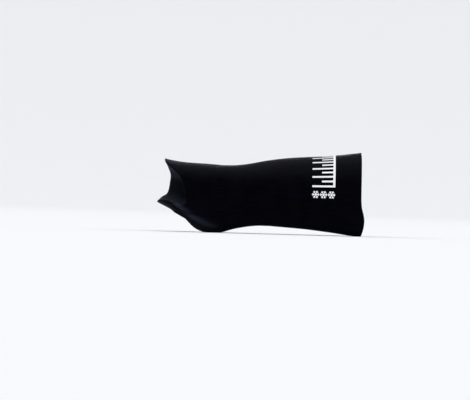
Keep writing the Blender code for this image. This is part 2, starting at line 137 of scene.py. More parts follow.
has_cloth = ~np.isnan(shares)
shares = np.where(has_cloth, shares, np.nanmean(shares))
for _ in range(GAP_FILLING):
    shares = np.where(has_cloth, shares, neighbours_mean(shares))
for _ in range(FACET_SMOOTHING):
    shares = (shares + neighbours_mean(shares)) / 2


def cubic_weights(t):
    """The weights of the four nearest samples for a smooth curve through them."""
    return (
        (-t + 2 * t**2 - t**3) / 2,
        (2 - 5 * t**2 + 3 * t**3) / 2,
        (t + 4 * t**2 - 3 * t**3) / 2,
        (t**3 - t**2) / 2,
    )


def share_at(x, turn):
    """The outer cloth's share of the oval at places given as arrays."""
    u = np.clip((x - stations[0]) / STATION_STEP, 0, len(stations) - 1.001)
    v = (turn % 360) / TURN_STEP
    i, j = np.floor(u).astype(int), np.floor(v).astype(int)
    found = np.zeros(np.broadcast(u, v).shape)
    for a, along in enumerate(cubic_weights(u - i)):
        for b, around in enumerate(cubic_weights(v - j)):
            row = np.clip(i + a - 1, 0, len(stations) - 1)
            found += along * around * shares[row, (j + b - 1) % len(turns)]
    return found


def bare_point(x, turn):
    """Points of the outer face before any relief, as an array of places."""
    share = share_at(x, turn)
    across, up = spoke(x, turn)
    x = np.broadcast_to(x, share.shape)
    return np.stack([x, share * across, oval_middle(x) + share * up], -1)


def outward(x, turn):
    """The cloth's outward direction at places given as arrays."""
    along = bare_point(x + MM, turn) - bare_point(x - MM, turn)
    around = bare_point(x, turn + 1.5) - bare_point(x, turn - 1.5)
    normal = np.cross(around, along)
    normal /= np.linalg.norm(normal, axis=-1, keepdims=True)
    return normal


# ---------------------------------------------------------------- edges, hole and seam lines
# The cloth ends in a slanted finger edge, a cuff edge and the rim of the thumb hole, and its two
# panels meet along a seam on each side. All of these lines are found on the frame as well.
EDGE_TURNS = np.arange(0, 360, 0.5)
EDGE_HALVINGS = 9
FINGER_EASING = 8
CUFF_EASING = 24
HOLE_SPOKES = 72
HOLE_EASING = 6
HOLE_DEPTH_SHARE = 0.25
SPIKE_REACH = 6
SEAM_BENDS = 3


def last_cloth(inside, outside, probe):
    """The share of the way from inside to outside where the cloth ends, by halving."""
    for _ in range(EDGE_HALVINGS):
        middle = (inside + outside) / 2
        inside, outside = (middle, outside) if probe(middle) is not None else (inside, middle)
    return (inside + outside) / 2


def tube_edge(turn, order):
    """Where the cloth first starts at a turn, walking the stations in the order given."""
    before = order[0]
    for x in order:
        if cast(x, turn) is not None:
            return last_cloth(x, before, lambda at: cast(at, turn))
        before = x
    return before


def closed_mean(values, times):
    """A closed line of values, evened out."""
    for _ in range(times):
        values = values / 2 + (np.roll(values, 1, 0) + np.roll(values, -1, 0)) / 4
    return values


def closed_median(values):
    """A closed line of values without the narrow spikes that the seams' slits leave."""
    return np.median([np.roll(values, shift) for shift in range(-SPIKE_REACH, SPIKE_REACH + 1)], axis=0)


finger_line = closed_median(np.array([tube_edge(turn, stations) for turn in EDGE_TURNS]))
cuff_line = closed_median(np.array([tube_edge(turn, stations[::-1]) for turn in EDGE_TURNS]))
finger_line, cuff_line = closed_mean(finger_line, FINGER_EASING), closed_mean(cuff_line, CUFF_EASING)


def finger_edge(turn):
    """The x of the finger edge at a turn."""
    return np.interp(turn % 360, EDGE_TURNS, finger_line, period=360)


def cuff_edge(turn):
    """The x of the cuff edge at a turn."""
    return np.interp(turn % 360, EDGE_TURNS, cuff_line, period=360)


def turn_of(places):
    """The turn of places given as an array."""
    x, y, z = np.moveaxis(places, -1, 0)
    return np.degrees(np.arctan2((z - oval_middle(x)) / oval_height(x), y / oval_width(x)))


def off_turn(turn, middle):
    """How far a turn is from a middle one, from -180 to 180."""
    return (turn - middle + 180) % 360 - 180


def seam_line(node, lowest_turn):
    """The turn of a seam as a function of x, evenly curved through the frame's zigzag thread."""
    corners = corners_of(node)
    turn = (turn_of(corners) - lowest_turn) % 360 + lowest_turn
    return np.poly1d(np.polyfit(corners[:, 0], turn, SEAM_BENDS))


thumb_seam = seam_line("thumb_side_seam_stitching", 90)
little_seam = seam_line("little_side_seam_stitching", -180)

hole_box = next(o for o in frame["record"]["physics"]["openings"] if o["name"] == "thumb_hole")["box_m"]
hole_x = (hole_box[0][0] + hole_box[1][0]) / 2
hole_y = (hole_box[0][1] + hole_box[1][1]) / 2
hole_turn = float(turn_of(np.array([hole_x, hole_y, HOLE_DEPTH_SHARE * oval_middle(hole_x)]))) % 360
DEGREE = math.radians(1) * oval_width(hole_x)


def hole_rim():
    """The thumb hole's rim, as (x, turn) round its middle."""
    middle = np.array([hole_x, hole_turn])
    rim = []
    for angle in np.linspace(0, 2 * math.pi, HOLE_SPOKES, endpoint=False):
        way = np.array([math.cos(angle), math.sin(angle) / DEGREE])

        def probe(gap, way=way):
            return cast(*(middle + way * gap))

        gap = 0.0
        while probe(gap) is None:
            gap += MM
        rim.append(middle + way * last_cloth(gap, gap - MM, probe))
    return closed_mean(np.array(rim), HOLE_EASING)


thumb_rim = hole_rim()


# ---------------------------------------------------------------- how the cloth lies
# Worn taut, the foam-backed cloth stands up in a fold between the thumb hole and the side seam, sinks
# a little at the seams, flares at its cut edges, and has soft creases where the wrist bends.
FOLD_THROUGH = ((-74, 26.0), (-67, 20.6), (-59.4, 14.8), (-50, 9.8), (-37, 5.2))
FOLD_PLACES = 240
FOLD_HEIGHT = 1.6 * MM
FOLD_WIDTH = 1.8 * MM
FOLD_START, FOLD_START_RUN = 3 * MM, 7 * MM
FOLD_END, FOLD_END_RUN = 9 * MM, 22 * MM
SEAM_PLACES = 400
SEAM_SINK = 0.45 * MM
SEAM_SINK_WIDTH = 1.6 * MM
EDGE_FLARE = 0.45 * MM
EDGE_FLARE_WIDTH = 2.2 * MM
HAND_CREASES = (
    (-31, 128, 22, 0.26), (-20, 160, 22, 0.24), (-26, 48, 22, 0.20), (-12, 14, 24, 0.24), (8, 240, 26, 0.24),
)
CREASE_PITCH = 11 * MM
CREASE_LEAN = 0.16 * MM
CREASE_REACH = 9 * MM
WAVES = ((11 * MM, 2, 0), (7 * MM, -3, 1))
WAVINESS = 0.08 * MM
# Painted highlight: the cloth's colour is lightened along the fold's crest, over the thumb base and at the knuckle
# edge, standing in for the light that catches them.
FOLD_HIGHLIGHT_WIDTH = 2.2 * MM
FOLD_HIGHLIGHT_END = 12 * MM
FOLD_HIGHLIGHT_FADE = 42 * MM
THUMB_HIGHLIGHT = (-53 * MM, 250.0, 14 * MM, 26.0, 0.4)
KNUCKLE_HIGHLIGHT = (94.0, 17.0, 28 * MM)


def bell(distance, width):
    """A smooth bump, 1 at no distance and almost nothing past two widths."""
    return np.exp(-((distance / width) ** 2))


def turn_at_height(x, z):
    """The turn on the thumb side at which the bare face has the height z."""
    tried = np.arange(180, 272, 0.25)
    return float(tried[np.argmin(abs(bare_point(np.full(tried.shape, x), tried)[:, 2] - z))])


def near(path):
    """Distance from places given as an array to a path of (x, turn)."""
    x, turn = np.array(path, float).T
    tree = KDTree(len(x))
    for index, place in enumerate(bare_point(x, turn)):
        tree.insert(place, index)
    tree.balance()

    def distance(places):
        return np.array([tree.find(p)[2] for p in places.reshape(-1, 3)]).reshape(places.shape[:-1])

    return distance


def filled_in(path, count):
    """A path of (x, turn) through a few knots, with count places along it."""
    at = np.linspace(0, len(path) - 1, count)
    return np.stack([np.interp(at, range(len(path)), line) for line in np.transpose(path)], -1)


fold_knots = [(x * MM, turn_at_height(x * MM, z * MM)) for x, z in FOLD_THROUGH]
seam_knots = np.linspace(stations[0], stations[-1], SEAM_PLACES)
near_fold = near(filled_in(fold_knots, FOLD_PLACES))
near_seams = near([(x, seam(x)) for seam in (thumb_seam, little_seam) for x in seam_knots])
edge_knots = [(edge(turn), turn) for edge in (finger_edge, cuff_edge) for turn in EDGE_TURNS]
near_edges = near([*edge_knots, *thumb_rim, *((thumb_rim + np.roll(thumb_rim, 1, 0)) / 2)])


def relief(x, turn, places):
    """How far the cloth stands out from its bare shape."""
    fold_start = np.clip((x - fold_knots[0][0] + FOLD_START) / FOLD_START_RUN, 0, 1)
    fold_end = np.clip((fold_knots[-1][0] + FOLD_END - x) / FOLD_END_RUN, 0, 1)
    fold = FOLD_HEIGHT * bell(near_fold(places), FOLD_WIDTH) * fold_start * fold_end
    sink = SEAM_SINK * bell(near_seams(places), SEAM_SINK_WIDTH)
    flare = EDGE_FLARE * np.exp(-near_edges(places) / EDGE_FLARE_WIDTH)
    creases = 0
    for crease_x, crease_turn, spread, height in HAND_CREASES:
        off_x = x - crease_x * MM
        aside = off_turn(turn, crease_turn)
        window = bell(off_x, CREASE_REACH) * bell(aside, spread)
        rise = np.cos(2 * np.pi * (off_x + aside * CREASE_LEAN) / CREASE_PITCH)
        creases = creases + height * MM * window * rise
    waves = sum(np.sin(x / length + rounds * np.radians(turn) + phase) for length, rounds, phase in WAVES)
    return fold - sink + flare + creases + WAVINESS * waves


def drawn_tight(x, turn):
    """A painted highlight from 0 to 1, standing in for light caught on the fold, over the thumb base and at the
    knuckles.
    """
    fold_reach = np.clip((fold_knots[-1][0] + FOLD_HIGHLIGHT_END - x) / FOLD_HIGHLIGHT_FADE, 0, 1)
    on_fold = bell(near_fold(bare_point(x, turn)), FOLD_HIGHLIGHT_WIDTH) * fold_reach
    thumb_x, thumb_turn, thumb_long, thumb_wide, thumb_highlight = THUMB_HIGHLIGHT
    on_thumb = thumb_highlight * bell(x - thumb_x, thumb_long) * bell(off_turn(turn, thumb_turn), thumb_wide)
    knuckle_turn, knuckle_wide, knuckle_long = KNUCKLE_HIGHLIGHT
    from_edge = np.maximum(x - finger_edge(turn), 0)
    on_knuckles = np.exp(-from_edge / knuckle_long) * bell(off_turn(turn, knuckle_turn), knuckle_wide)
    return np.clip(on_fold + on_thumb + on_knuckles, 0, 1)


def surface(x, turn, height):
    """Places on the sleeve at a height above its outer face. Nothing goes below what the sleeve rests on."""
    x, turn = np.asarray(x, float), np.asarray(turn, float)
    places = bare_point(x, turn)
    lift = relief(x, turn, places) + height
    places = places + outward(x, turn) * lift[..., None]
    places[..., 2] = np.maximum(places[..., 2], max(0.0, -height))
    return places


# ---------------------------------------------------------------- knitted cloth
# All the cloth is warp knit: columns of V-shaped loops, with a little unevenness in the dye. One node
# group gives the loops and one the unevenness, and each cloth sets its own loop size and depth.
LOOP_SLANT = 1.2
LOOP_SWELL = 0.35
SLOW_SHARE = 0.6
MOTTLE_SHARE = 1.1
LOOP_SHARE = 0.4
STREAK_SHARE = 0.7
SHADE_OFFSET = -0.65
STREAK_ACROSS = 700
STREAK_ALONG = 70
FIBRE_SPREAD = 0.3


def add_socket(group, name, kind, in_out="INPUT"):
    return group.interface.new_socket(name=name, in_out=in_out, socket_type="NodeSocket" + kind)


def group_ends(group):
    """The sockets that a group is given, and those of its result."""
    return group.nodes.new("NodeGroupInput").outputs, group.nodes.new("NodeGroupOutput").inputs


def shader_group(name, output, **values):
    """A new shader group from a pattern place and float values to one float."""
    group = bpy.data.node_groups.new(name, "ShaderNodeTree")
    add_socket(group, "Place", "Vector")
    for label, value in values.items():
        add_socket(group, label, "Float").default_value = value
    add_socket(group, output, "Float", "OUTPUT")
    return group, *group_ends(group)


def feed(tree, value, socket):
    """Links a socket, or sets a number."""
    if isinstance(value, bpy.types.NodeSocket):
        tree.links.new(value, socket)
    else:
        socket.default_value = value


def add_node(tree, kind, inputs=None, output=0, **settings):
    """A new node with its settings and fed inputs. Returns one output, or all where it is None."""
    node = tree.nodes.new(kind)
    for key, value in settings.items():
        setattr(node, key, value)
    for label, value in (inputs or {}).items():
        feed(tree, value, node.inputs[label])
    return node.outputs if output is None else node.outputs[output]


def maths(tree, operation, *values):
    """A math node's result."""
    return add_node(tree, "ShaderNodeMath", dict(enumerate(values)), operation=operation)


def knit_loops():
    """Height of V-shaped loops in columns, from a flat pattern place in metres."""
    group, given, result = shader_group("knit_loops", "Height", Wale=0.8 * MM, Course=0.7 * MM)
    calc = partial(maths, group)
    split = add_node(group, "ShaderNodeSeparateXYZ", {0: given["Place"]}, None)
    across = calc("DIVIDE", split["X"], given["Wale"])
    along = calc("DIVIDE", split["Y"], given["Course"])
    off_middle = calc("ABSOLUTE", calc("SUBTRACT", calc("FRACT", across), 0.5))
    slanted = calc("ADD", along, calc("MULTIPLY", off_middle, LOOP_SLANT))
    wave = calc("COSINE", calc("MULTIPLY", slanted, 2 * math.pi))
    off_leg = calc("ABSOLUTE", calc("SUBTRACT", off_middle, 0.25))
    leg = calc("SUBTRACT", 1.0, calc("POWER", calc("MULTIPLY", off_leg, 4.0), 2.0))
    feed(group, calc("MULTIPLY", calc("MULTIPLY_ADD", wave, LOOP_SWELL, 0.5), leg), result[0])
    return group


def dye_mottle():
    """Slow and fine unevenness of a dyed cloth, around 0.5, from Object coordinates."""
    group, given, result = shader_group("dye_mottle", "Shade", Slow=60.0, Fine=900.0)
    slow, fine = (
        add_node(group, "ShaderNodeTexNoise", {"Detail": 3, "Vector": given["Place"], "Scale": scale}, "Fac")
        for scale in (given["Slow"], given["Fine"])
    )
    rest = maths(group, "MULTIPLY", fine, 1 - SLOW_SHARE)
    feed(group, maths(group, "MULTIPLY_ADD", slow, SLOW_SHARE, rest), result[0])
    return group


KNIT = knit_loops()
MOTTLE = dye_mottle()


def place_group(tree, group, place, **values):
    """A group's result at a pattern place, with its values set."""
    return add_node(tree, "ShaderNodeGroup", {"Place": place, **values}, node_tree=group)


def new_material(name, roughness, **settings):
    """A Principled material, with its constants on the shader's own sockets."""
    made = bpy.data.materials.new(name)
    made.use_nodes = True
    sockets = made.node_tree.nodes["Principled BSDF"].inputs
    sockets["Roughness"].default_value = roughness
    for label, value in settings.items():
        sockets[label.replace("_", " ")].default_value = value
    return made, made.node_tree, sockets


def two_tone(tree, shade, dark, light, socket):
    """Colours from dark to light by a shade from 0 to 1. Returns the dark colour's socket."""
    mix = tree.nodes.new("ShaderNodeMix")
    mix.data_type = "RGBA"
    colours = [s for s in mix.inputs if s.type == "RGBA"]
    colours[0].default_value = (*dark, 1)
    colours[1].default_value = (*light, 1)
    tree.links.new(shade, mix.inputs["Factor"])
    tree.links.new(next(s for s in mix.outputs if s.type == "RGBA"), socket)
    return colours[0]


def add_bump(tree, sockets, height, depth):
    """A bump of a depth in metres."""
    bump = add_node(tree, "ShaderNodeBump", {"Distance": depth, "Height": height})
    tree.links.new(bump, sockets["Normal"])


def knit_material(name, dark, light, drawn, wale, course, depth, roughness, gloss, sheen, tint):
    """A dyed knit: loops as bump, mottled colour lightened toward a painted highlight colour (drawn) by a stored
    mask, and lit fibres.
    """
    made, tree, sockets = new_material(
        name, roughness, Specular_IOR_Level=gloss, Sheen_Weight=sheen, Sheen_Roughness=FIBRE_SPREAD,
        Sheen_Tint=(*tint, 1),
    )
    places = add_node(tree, "ShaderNodeTexCoord", output=None)
    loops = place_group(tree, KNIT, places["UV"], Wale=wale, Course=course)
    shade = place_group(tree, MOTTLE, places["Object"])
    scale = (STREAK_ACROSS, STREAK_ALONG, 1)
    stretch = add_node(tree, "ShaderNodeMapping", {"Vector": places["UV"], "Scale": scale})
    streak = add_node(tree, "ShaderNodeTexNoise", {"Vector": stretch, "Scale": 1, "Detail": 2}, "Fac")
    shade = maths(tree, "MULTIPLY_ADD", shade, MOTTLE_SHARE, SHADE_OFFSET)
    shade = maths(tree, "MULTIPLY_ADD", streak, STREAK_SHARE, shade)
    shade = maths(tree, "MULTIPLY_ADD", loops, LOOP_SHARE, shade)
    # Painted highlight: a stored mask from 0 to 1 lightens the colour toward the drawn colour, which is the
    # highlight's colour.
    pull = add_node(tree, "ShaderNodeAttribute", output="Fac", attribute_name="drawn_tight")
    unhighlighted_colour = two_tone(tree, pull, dark, drawn, sockets["Base Color"])
    two_tone(tree, shade, dark, light, unhighlighted_colour)
    add_bump(tree, sockets, loops, depth)
    return made


# The third colour of each knit is its painted highlight colour.
FACE_KNIT = knit_material(
    "face_knit", (0.0001, 0.0001, 0.0005), (0.0030, 0.0033, 0.0075), (0.024, 0.027, 0.042), wale=0.85 * MM,
    course=0.75 * MM, depth=0.25 * MM, roughness=0.55, gloss=0.012, sheen=0.014, tint=(0.45, 0.52, 1.0),
)
# Its third colour is the painted highlight colour too.
LINING_KNIT = knit_material(
    "lining_knit", (0.005, 0.006, 0.009), (0.018, 0.021, 0.029), (0.030, 0.034, 0.045), wale=1.3 * MM,
    course=1.1 * MM, depth=0.3 * MM, roughness=0.9, gloss=0.1, sheen=0.2, tint=(0.6, 0.7, 1.0),
)


# ---------------------------------------------------------------- outer cloth
# Two panels of foam-backed stretch knit, back and palm, 1.8 mm thick and cut without a hem, so that
# the cut edge shows all round. The palm panel has the thumb hole and runs on into a wedge past it.
CLOTH_THICK = 1.8 * MM
CLOTH_SPACING = 0.95 * MM
PANEL_SLIT = 0.03 * MM
EDGE_PROFILE = ((0.12, 0.7), (0.5, 1.0), (0.88, 0.7))
EDGE_BULGE = 0.4 * MM
RIM_REACH = 4 * MM
ARC = 33 * MM
GRID_ROUNDS = 12
RIM_ROUNDS = 10
TINY = 1e-9


def panel_sides(side, x):
    """The turns at x between which a panel runs, a hair short of its two seams."""
    slit = math.degrees(PANEL_SLIT / ARC)
    seams = (little_seam(x), thumb_seam(x)) if side == "back" else (thumb_seam(x), little_seam(x) + 360)
    return seams[0] + slit, seams[1] - slit


def cloth_grid(side, setback, spacing):
    """Rows of places (x, turn) of a panel, from the finger edge to the cuff."""
    rows = int((cad_box[1][0] - cad_box[0][0]) / spacing)
    low, high = panel_sides(side, 0.0)
    columns = int(math.radians(high - low) * ARC / spacing)
    row, column = np.meshgrid(np.linspace(0, 1, rows), np.linspace(0, 1, columns), indexing="ij")
    x = np.zeros(row.shape)
    for _ in range(GRID_ROUNDS):
        low, high = panel_sides(side, x)
        turn = low + (high - low) * column
        start, end = finger_edge(turn) + setback, cuff_edge(turn) - setback
        x = (x + start + (end - start) * row) / 2
    return np.stack([x, turn], -1)


def in_loop(places, loop):
    """Whether flat places lie inside a closed loop."""
    inside = np.zeros(len(places), bool)
    for a, b in zip(loop, np.roll(loop, -1, 0)):
        crosses = (a[1] > places[:, 1]) != (b[1] > places[:, 1])
        rise = np.where(crosses, places[:, 1] - a[1], 0) / (b[1] - a[1] if b[1] != a[1] else 1)
        inside ^= crosses & (places[:, 0] < a[0] + rise * (b[0] - a[0]))
    return inside


def nearest_on_loop(place, loop):
    """The nearest place on a closed loop of flat places."""
    ahead = np.roll(loop, -1, 0) - loop
    share = np.clip(((place - loop) * ahead).sum(1) / (ahead**2).sum(1), 0, 1)
    found = loop + ahead * share[:, None]
    return found[np.argmin(((found - place) ** 2).sum(1))]


def cut_hole(flat, sides, loop):
    """Drops the sides inside a loop, and draws the corners left in it to the loop."""
    inside = in_loop(flat, loop)
    sides = [s for s in sides if not all(inside[list(s)])]
    kept = sorted({c for s in sides for c in s})
    on_rim = [c for c in kept if inside[c]]
    neighbours = {c: set() for c in kept}
    for side in sides:
        for a, b in zip(side, side[1:] + side[:1]):
            neighbours[a].add(b)
            neighbours[b].add(a)
    flat = flat.copy()
    for c in on_rim:
        flat[c] = nearest_on_loop(flat[c], loop)
    middle = loop.mean(0)
    reach = np.linalg.norm(loop - middle, axis=1).max() + RIM_REACH
    rim_set = set(on_rim)
    close = [c for c in kept if c not in rim_set and len(neighbours[c]) == 4]
    close = [c for c in close if np.linalg.norm(flat[c] - middle) < reach]
    for _ in range(RIM_ROUNDS):
        for c in on_rim:
            beside = [n for n in neighbours[c] if n in rim_set]
            if len(beside) == 2:
                flat[c] = nearest_on_loop((flat[beside].mean(0) + flat[c]) / 2, loop)
        eased = np.array([flat[list(neighbours[c])].mean(0) for c in close])
        flat[close] = (flat[close] + eased) / 2
    return flat, sides


def new_object(name, data):
    """A new object in the scene."""
    made = bpy.data.objects.new(name, data)
    bpy.context.scene.collection.objects.link(made)
    return made


def write_pattern(mesh, layer_name, spots):
    """Gives each face corner the flat pattern place of its vertex, in metres."""
    corners = np.empty(len(mesh.loops), np.int32)
    mesh.loops.foreach_get("vertex_index", corners)
    mesh.uv_layers.new(name=layer_name).data.foreach_set("uv", spots[corners].ravel())


def write_attribute(mesh, name, kind, values):
    """Stores a value or a direction for each vertex."""
    field = "vector" if kind == "FLOAT_VECTOR" else "value"
    store = mesh.attributes.new(name, kind, "POINT")
    store.data.foreach_set(field, np.asarray(values, np.float32).ravel())


def grid_sides(rows, columns):
    """The four-cornered sides of a grid of corners, counted row by row."""
    index = np.arange(rows * columns).reshape(rows, columns)
    sides = np.stack([index[:-1, :-1], index[:-1, 1:], index[1:, 1:], index[1:, :-1]], -1)
    return [tuple(s) for s in sides.reshape(-1, 4).tolist()]


def turned_out(sides, outer, inner):
    """The sides in the order that makes them face from the inner places to the outer ones."""
    first, second, third = outer[list(sides[0][:3])]
    wrong = np.dot(np.cross(second - first, third - first), first - inner[sides[0][0]]) < 0
    return [s[::-1] for s in sides] if wrong else sides


def open_edge(sides):
    """The edges that only one side has, and their corners."""
    runs = [(a, b) for s in sides for a, b in zip(s, s[1:] + s[:1])]
    shared = set(runs)
    edge = [(a, b) for a, b in runs if (b, a) not in shared]
    return edge, sorted({c for e in edge for c in e})


def closed_mesh(name, outer, inner, sides, rows=()):
    """A mesh of an outer and an inner face, closed at their open edge by way of rows of places."""
    edge, rim = open_edge(sides)
    count = len(outer)
    starts = [2 * count + number * len(rim) for number in range(len(rows))]
    row_of = [dict(zip(rim, range(start, start + len(rim)))) for start in starts]
    row_of = [{c: c for c in rim}, *row_of, {c: count + c for c in rim}]
    faces = sides + [tuple(count + c for c in reversed(s)) for s in sides]
    for upper, lower in zip(row_of, row_of[1:]):
        faces += [(upper[b], upper[a], lower[a], lower[b]) for a, b in edge]
    mesh = bpy.data.meshes.new(name)
    mesh.from_pydata(np.concatenate([outer, inner, *rows]).tolist(), [], faces)
    mesh.validate()
    mesh.shade_smooth()
    return mesh


def layer_solid(name, flat, sides, depth, thick):
    """One closed layer of cloth from corners (x, turn) and its sides, with rounded cut edges."""
    used = sorted({c for s in sides for c in s})
    renamed = {c: i for i, c in enumerate(used)}
    flat = flat[used]
    outer = surface(flat[:, 0], flat[:, 1], -depth)
    inner = surface(flat[:, 0], flat[:, 1], -depth - thick)
    sides = turned_out([tuple(renamed[c] for c in s) for s in sides], outer, inner)
    facing = outer - inner
    facing /= np.linalg.norm(facing, axis=1, keepdims=True)
    edge, rim = open_edge(sides)
    away = np.zeros(outer.shape)
    for a, b in edge:
        push = np.cross(outer[b] - outer[a], facing[a])
        push /= max(np.linalg.norm(push), TINY)
        away[a] += push
        away[b] += push
    away /= np.maximum(np.linalg.norm(away, axis=1, keepdims=True), TINY)
    rows = []
    for share, bulge in EDGE_PROFILE:
        push = EDGE_BULGE * bulge * thick / CLOTH_THICK
        row = outer[rim] * (1 - share) + inner[rim] * share + away[rim] * push
        row[:, 2] = np.maximum(row[:, 2], 0)
        rows.append(row)
    mesh = closed_mesh(name, outer, inner, sides, rows)
    x, turn = np.concatenate([flat, flat, *[flat[rim]] * len(rows)]).T
    write_pattern(mesh, "knit", np.stack([np.radians(turn) * ARC, x], -1))
    # Painted highlight: how far the knit's colour is lightened at each vertex.
    write_attribute(mesh, "drawn_tight", "FLOAT", drawn_tight(x, turn))
    return new_object(name, mesh)


def cloth_panel(side, layer, material, depth, thick, setback, spacing, hole_growth=0.0):
    """A panel of one layer of cloth. The palm's has the thumb hole, larger by a share of growth."""
    grid = cloth_grid(side, setback, spacing)
    flat, sides = grid.reshape(-1, 2), grid_sides(*grid.shape[:2])
    if side == "palm":
        scale = np.array((1, DEGREE))
        loop = thumb_rim * scale
        loop = loop.mean(0) + (loop - loop.mean(0)) * (1 + hole_growth)
        flat, sides = cut_hole(flat * scale, sides, loop)
        flat = flat / scale
    panel = layer_solid(f"{side}_{layer}_cloth", flat, sides, depth, thick)
    panel.data.materials.append(material)
    return panel


def finish_piece(piece, body, slot, *nodes):
    """Ties a piece to its body and hides the frame nodes that it stands for. The slot is not used."""
    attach(piece, body)
    if nodes:
        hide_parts(*nodes)


outer_make = (FACE_KNIT, 0.0, CLOTH_THICK, EDGE_BULGE, CLOTH_SPACING)
back_outer = cloth_panel("back", "outer", *outer_make)
palm_outer = cloth_panel("palm", "outer", *outer_make)
finish_piece(back_outer, "sleeve", "face_knit", "back_outer_panel")
finish_piece(palm_outer, "sleeve", "face_knit", "palm_outer_panel")


# ---------------------------------------------------------------- lining
# A brushed knit lining, one panel inside each outer panel, stitched in with the side seams. It is cut
# a little shorter than the outer cloth, so that it never shows past the edge.
LINING_DEPTH = CLOTH_THICK + 0.15 * MM
LINING_THICK = 0.7 * MM
LINING_SETBACK = 0.8 * MM
LINING_SPACING = 1.5 * MM
LINING_HOLE_GROWTH = 0.06

lining_make = (LINING_KNIT, LINING_DEPTH, LINING_THICK, LINING_SETBACK, LINING_SPACING)
back_lining = cloth_panel("back", "lining", *lining_make)
palm_lining = cloth_panel("palm", "lining", *lining_make, LINING_HOLE_GROWTH)
finish_piece(back_lining, "sleeve", "lining_knit", "back_lining")
finish_piece(palm_lining, "sleeve", "lining_knit", "palm_lining")


# ---------------------------------------------------------------- side seams
# The panels are butted and joined by a flatlock seam: a zigzag of soft thread that crosses the joint,
# held down by a line of straight stitches along each side.
SEAM_PITCH = 2.6 * MM
SEAM_HALF_WIDTH = 1.5 * MM
THREAD_RADIUS = 0.2 * MM
THREAD_LIFT = 0.16 * MM
THREAD_SEAT = 0.6
STITCH_LENGTH = 1.9 * MM
STITCH_GAP = 2.5 * MM
SEAM_END = 1.2 * MM
WEB_START = 2.6 * MM
NEAR_WEB = -64 * MM
NEAR_CUFF = 80 * MM
NEAR_KNUCKLES = -78 * MM


def thread_material():
    """Dull black sewing thread with its twist."""
    made, tree, sockets = new_material("thread", 0.6, Specular_IOR_Level=0.04, Sheen_Weight=0.015)
    place = add_node(tree, "ShaderNodeTexCoord", output="Object")
    shade = place_group(tree, MOTTLE, place, Slow=200.0, Fine=3000.0)
    two_tone(tree, shade, (0.0002, 0.0002, 0.0004), (0.0012, 0.0014, 0.0026), sockets["Base Color"])
    ribs = {"Scale": 900, "Distortion": 2, "Vector": place}
    twist = add_node(tree, "ShaderNodeTexWave", ribs, "Fac", bands_direction="DIAGONAL")
    add_bump(tree, sockets, twist, 0.06 * MM)
    return made


THREAD = thread_material()


def geometry_tree(name, *labels):
    """A new Geometry Nodes tree from a run, named values and a material to a mesh."""
    tree = bpy.data.node_groups.new(name, "GeometryNodeTree")
    tree.is_modifier = True
    add_socket(tree, "Geometry", "Geometry")
    for label in labels:
        add_socket(tree, label, "Float")
    add_socket(tree, "Material", "Material")
    add_socket(tree, "Geometry", "Geometry", "OUTPUT")
    return tree, *group_ends(tree)


def vector_maths(tree, operation, *vectors, **inputs):
    """A vector math node's result."""
    fed = {**dict(enumerate(vectors)), **inputs}
    return add_node(tree, "ShaderNodeVectorMath", fed, operation=operation)


def outward_attribute(tree):
    kind = "GeometryNodeInputNamedAttribute"
    return add_node(tree, kind, {"Name": "outward"}, "Attribute", data_type="FLOAT_VECTOR")


def sideways(tree):
    """The direction across a run, along the cloth."""
    tangent = add_node(tree, "GeometryNodeInputTangent")
    across = vector_maths(tree, "CROSS_PRODUCT", tangent, outward_attribute(tree))
    return vector_maths(tree, "NORMALIZE", across)


def finished_with(tree, geometry, material, result):
    """Realises, smooths and colours the geometry of a tree."""
    real = add_node(tree, "GeometryNodeRealizeInstances", {"Geometry": geometry})
    smooth = add_node(tree, "GeometryNodeSetShadeSmooth", {"Geometry": real})
    coloured = add_node(tree, "GeometryNodeSetMaterial", {"Geometry": smooth, "Material": material})
    tree.links.new(coloured, result[0])


def zigzag_tree():
    """A zigzag thread along a run: eight places to a full zigzag, dipping where the needle went in."""
    tree, given, result = geometry_tree("zigzag_thread", "Pitch", "Half width", "Radius", "Lift")
    calc, add = partial(maths, tree), partial(add_node, tree)
    run = add("GeometryNodeMeshToCurve", {"Mesh": given["Geometry"]})
    step = calc("DIVIDE", given["Pitch"], 8.0)
    run = add("GeometryNodeResampleCurve", {"Curve": run, "Length": step}, mode="LENGTH")
    phase = calc("MODULO", calc("DIVIDE", add("GeometryNodeInputIndex"), 4.0), 2.0)
    swing = calc("MULTIPLY_ADD", calc("ABSOLUTE", calc("SUBTRACT", phase, 1.0)), 2.0, -1.0)
    rise = calc("MULTIPLY", calc("SUBTRACT", 1.0, calc("POWER", swing, 4.0)), given["Lift"])
    reach = calc("MULTIPLY", swing, given["Half width"])
    across = vector_maths(tree, "SCALE", sideways(tree), Scale=reach)
    up = vector_maths(tree, "SCALE", outward_attribute(tree), Scale=rise)
    offset = vector_maths(tree, "ADD", across, up)
    run = add("GeometryNodeSetPosition", {"Geometry": run, "Offset": offset})
    ring = add("GeometryNodeCurvePrimitiveCircle", {"Resolution": 6, "Radius": given["Radius"]})
    thread = add("GeometryNodeCurveToMesh", {"Curve": run, "Profile Curve": ring, "Fill Caps": True})
    finished_with(tree, thread, given["Material"], result)
    return tree


